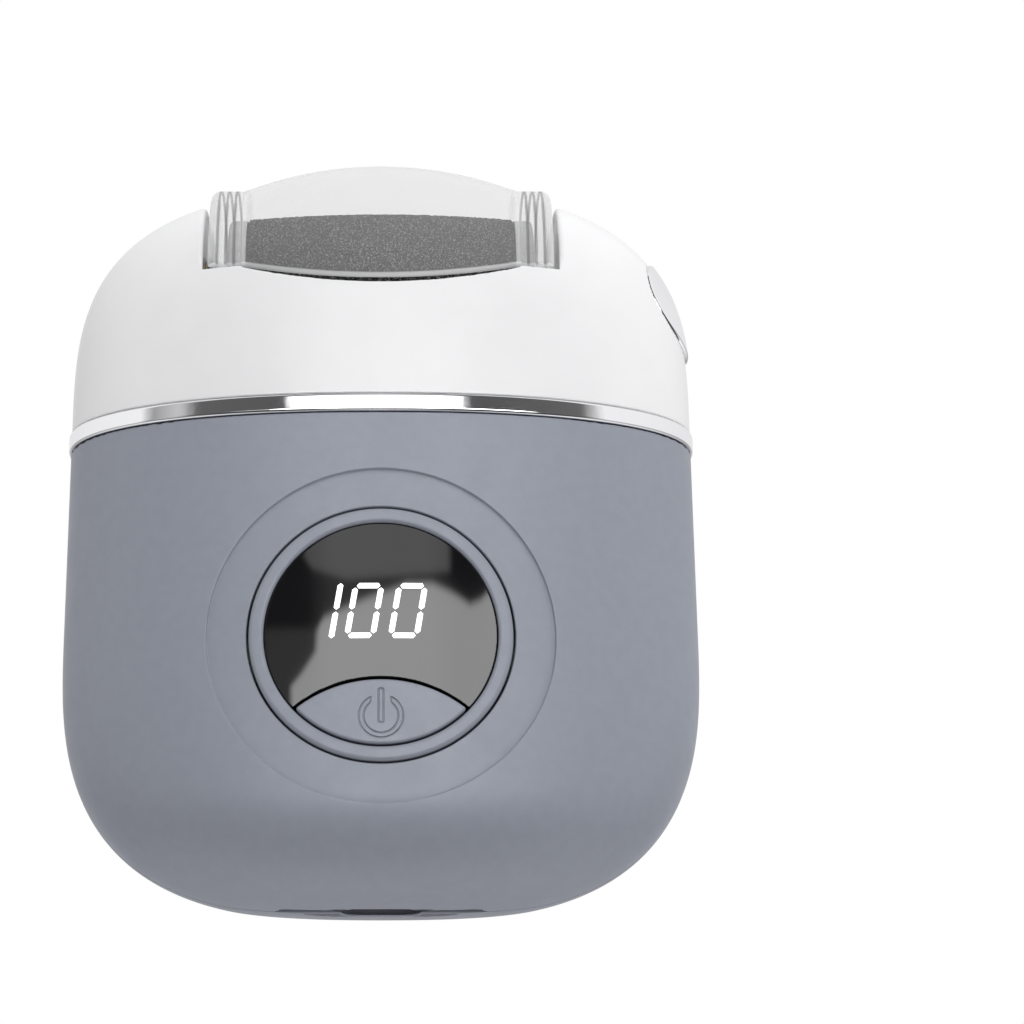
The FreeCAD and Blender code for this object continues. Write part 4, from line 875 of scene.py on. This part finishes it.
# ---------------------------------------------------------------- light
def soft_step(tree, value, blur):
    """0 below zero and 1 above it, with an edge as wide as blur."""
    node = tree.nodes.new("ShaderNodeClamp")
    tree.links.new(link_math(tree, "ADD", link_math(tree, "DIVIDE", value, blur), 0.5), node.inputs[0])
    return node.outputs[0]


def curve(tree, source, points):
    """A value read off (at, value) points, both in degrees between -30 and 30."""
    low, high = -30.0, 30.0
    span = high - low
    at = link_math(tree, "DIVIDE", link_math(tree, "SUBTRACT", source, low), span)
    value = ramp(tree, at, [((a - low) / span, (v - low) / span) for a, v in points])
    return link_math(tree, "ADD", link_math(tree, "MULTIPLY", value, span), low)


def lower_panel(tree, azimuth, height):
    """A broad panel of light with a wavy upper edge and a bent left one, and faint light beside it."""
    top = curve(tree, azimuth, LOWER_TOP)
    left = curve(tree, height, LOWER_LEFT)
    below = soft_step(tree, link_math(tree, "SUBTRACT", top, height), 0.5)
    above = soft_step(tree, link_math(tree, "ADD", height, 2.5), 1.5)
    inside = soft_step(tree, link_math(tree, "SUBTRACT", azimuth, left), 1.1)
    beyond = soft_step(tree, link_math(tree, "SUBTRACT", LOWER_RIGHT, azimuth), 4.0)
    faint = soft_step(tree, link_math(tree, "ADD", azimuth, 21.0), 5.0)
    across = link_math(tree, "ADD", link_math(tree, "MULTIPLY", inside, LOWER_VALUE),
                       link_math(tree, "MULTIPLY", faint, LOWER_SPILL))
    shape = link_math(tree, "MULTIPLY", link_math(tree, "MULTIPLY", below, above), beyond)
    return link_math(tree, "MULTIPLY", shape, across)


def upper_panel(tree, azimuth, height):
    """A dimmer panel above it, with a slightly wavy lower edge."""
    bottom = curve(tree, azimuth, UPPER_BOTTOM)
    above = soft_step(tree, link_math(tree, "SUBTRACT", height, bottom), 0.4)
    below = soft_step(tree, link_math(tree, "SUBTRACT", UPPER_TOP, height), 3.0)
    left = soft_step(tree, link_math(tree, "SUBTRACT", azimuth, UPPER_SIDES[0]), 1.6)
    right = soft_step(tree, link_math(tree, "SUBTRACT", UPPER_SIDES[1], azimuth), 1.2)
    level = link_math(tree, "MULTIPLY", above, below)
    across = link_math(tree, "MULTIPLY", left, right)
    return link_math(tree, "MULTIPLY", link_math(tree, "MULTIPLY", level, across), UPPER_VALUE)


def make_world():
    """Shiny faces see walls and panels, matt faces a soft gradient, the camera plain white."""
    world = bpy.data.worlds.new("studio")
    SCENE.world = world
    world.use_nodes = True
    tree = world.node_tree
    tree.nodes.clear()
    out = tree.nodes.new("ShaderNodeOutputWorld")
    where = tree.nodes.new("ShaderNodeTexCoord")
    split = tree.nodes.new("ShaderNodeSeparateXYZ")
    tree.links.new(where.outputs["Generated"], split.inputs[0])
    x, y, z = split.outputs
    degrees = 180 / math.pi
    ahead = link_math(tree, "MULTIPLY", y, -1.0)
    azimuth = link_math(tree, "MULTIPLY", link_math(tree, "ARCTAN2", x, ahead), degrees)
    height = link_math(tree, "MULTIPLY", link_math(tree, "ARCSINE", z), degrees)
    # what shiny faces see
    away = link_math(tree, "ADD", link_math(tree, "DIVIDE", azimuth, 360.0), 0.5)
    level = link_math(tree, "ADD", link_math(tree, "DIVIDE", z, 2.0), 0.5)
    total = link_math(tree, "MULTIPLY", ramp(tree, away, WALLS), ramp(tree, level, TIERS))
    total = link_math(tree, "ADD", total, lower_panel(tree, azimuth, height))
    total = link_math(tree, "ADD", total, upper_panel(tree, azimuth, height))
    # what matt faces see
    soft = ramp(tree, level, FILL)
    path = tree.nodes.new("ShaderNodeLightPath")
    mix = tree.nodes.new("ShaderNodeMix")
    mix.data_type = "FLOAT"
    tree.links.new(path.outputs["Is Glossy Ray"], mix.inputs["Factor"])
    tree.links.new(soft, mix.inputs["A"])
    tree.links.new(total, mix.inputs["B"])
    seen = tree.nodes.new("ShaderNodeMix")
    seen.data_type = "FLOAT"
    tree.links.new(path.outputs["Is Camera Ray"], seen.inputs["Factor"])
    tree.links.new(mix.outputs["Result"], seen.inputs["A"])
    seen.inputs["B"].default_value = 1.0
    shade = tree.nodes.new("ShaderNodeBackground")
    tree.links.new(seen.outputs["Result"], shade.inputs["Strength"])
    shade.inputs["Color"].default_value = (1, 1, 1, 1)
    tree.links.new(shade.outputs[0], out.inputs["Surface"])


# brightness round the object for shiny faces: azimuth as 0 to 1, straight ahead is 0.5
WALLS = ((0.0, 0.8), (0.36, 0.95), (0.375, 0.35), (0.40, 0.6), (0.415, 0.12), (0.468, 0.10), (0.48, 0.55),
         (0.52, 0.5), (0.532, 0.08), (0.60, 0.14), (0.62, 0.95), (1.0, 0.8))
# brightness by height for shiny faces, straight down is 0
TIERS = ((0.0, 1.1), (0.25, 0.45), (0.42, 0.6), (0.5, 1.0), (1.0, 1.0))
# the broad panel: (azimuth, height) along its upper edge, (height, azimuth) along its left
LOWER_TOP = ((-9.7, 18.6), (-8.5, 19.2), (-4.7, 19.8), (3.6, 21.1), (7.7, 21.1), (11.1, 20.6),
             (14.4, 19.95), (16.5, 20.2), (18.5, 20.75), (24.0, 21.2))
LOWER_LEFT = ((15.2, -14.5), (16.0, -12.5), (17.3, -9.9), (19.0, -9.6))
LOWER_RIGHT, LOWER_VALUE, LOWER_SPILL = 22.0, 5.6, 0.5
# the upper panel: (azimuth, height) along its lower edge, its top, its sides and its value
UPPER_BOTTOM = ((-12.6, 22.6), (-10.6, 21.9), (-4.7, 21.3), (3.6, 21.6), (10.2, 21.75))
UPPER_TOP, UPPER_SIDES, UPPER_VALUE = 33.0, (-12.4, 10.8), 1.4
# brightness by height for matt faces, straight down is 0
FILL = ((0.0, 1.25), (0.25, 0.42), (0.5, 0.56), (0.75, 0.74), (1.0, 0.8))


# soft lamps: name, place, what it points at, size in metres, power in watts
LIGHTS = (("key", (0.05, -0.2, 0.26), (0.01, 0.0, 0.05), (0.2, 0.14), 0.4),
          ("right", (0.3, -0.1, -0.01), (0.03, 0.0, 0.02), (0.1, 0.1), 0.15))


def area_light(name, place, aim, size, power):
    """A soft lamp that matt faces see, and neither the camera nor shiny faces do."""
    data = bpy.data.lights.new(name, "AREA")
    data.shape = "RECTANGLE"
    data.size, data.size_y = size
    data.energy = power
    lamp = bpy.data.objects.new(name, data)
    SCENE.collection.objects.link(lamp)
    lamp.location = place
    lamp.rotation_mode = "QUATERNION"
    lamp.rotation_quaternion = (Vector(aim) - Vector(place)).to_track_quat("-Z", "Y")
    lamp.visible_camera = False
    lamp.visible_glossy = False


FLOOR_HALF = 1.5  # metres


def make_floor():
    """A plain pale floor that can be seen from above only."""
    mesh = bpy.data.meshes.new("floor")
    s = FLOOR_HALF
    mesh.from_pydata([(-s, -s, 0), (s, -s, 0), (s, s, 0), (-s, s, 0)], [], [(0, 1, 2, 3)])
    obj = bpy.data.objects.new("floor", mesh)
    SCENE.collection.objects.link(obj)
    mat = bpy.data.materials.new("floor")
    mat.use_nodes = True
    tree = mat.node_tree
    tree.nodes.clear()
    out = tree.nodes.new("ShaderNodeOutputMaterial")
    matt = tree.nodes.new("ShaderNodeBsdfDiffuse")
    tree.links.new(ramp(tree, noise(tree, 40.0), ((0.3, 0.84), (0.7, 0.86))), matt.inputs["Color"])
    clear = tree.nodes.new("ShaderNodeBsdfTransparent")
    side = tree.nodes.new("ShaderNodeNewGeometry")
    mix = tree.nodes.new("ShaderNodeMixShader")
    tree.links.new(side.outputs["Backfacing"], mix.inputs["Fac"])
    tree.links.new(matt.outputs[0], mix.inputs[1])
    tree.links.new(clear.outputs[0], mix.inputs[2])
    tree.links.new(mix.outputs[0], out.inputs["Surface"])
    obj.data.materials.append(mat)
    obj.visible_shadow = False
    obj.visible_diffuse = False
    obj.visible_glossy = False
    obj.visible_transmission = False


finish_nodes()
add_shells()
add_display()
add_moving()
add_band()
add_sleeve()
add_digits()
make_world()
make_floor()
for light in LIGHTS:
    area_light(*light)
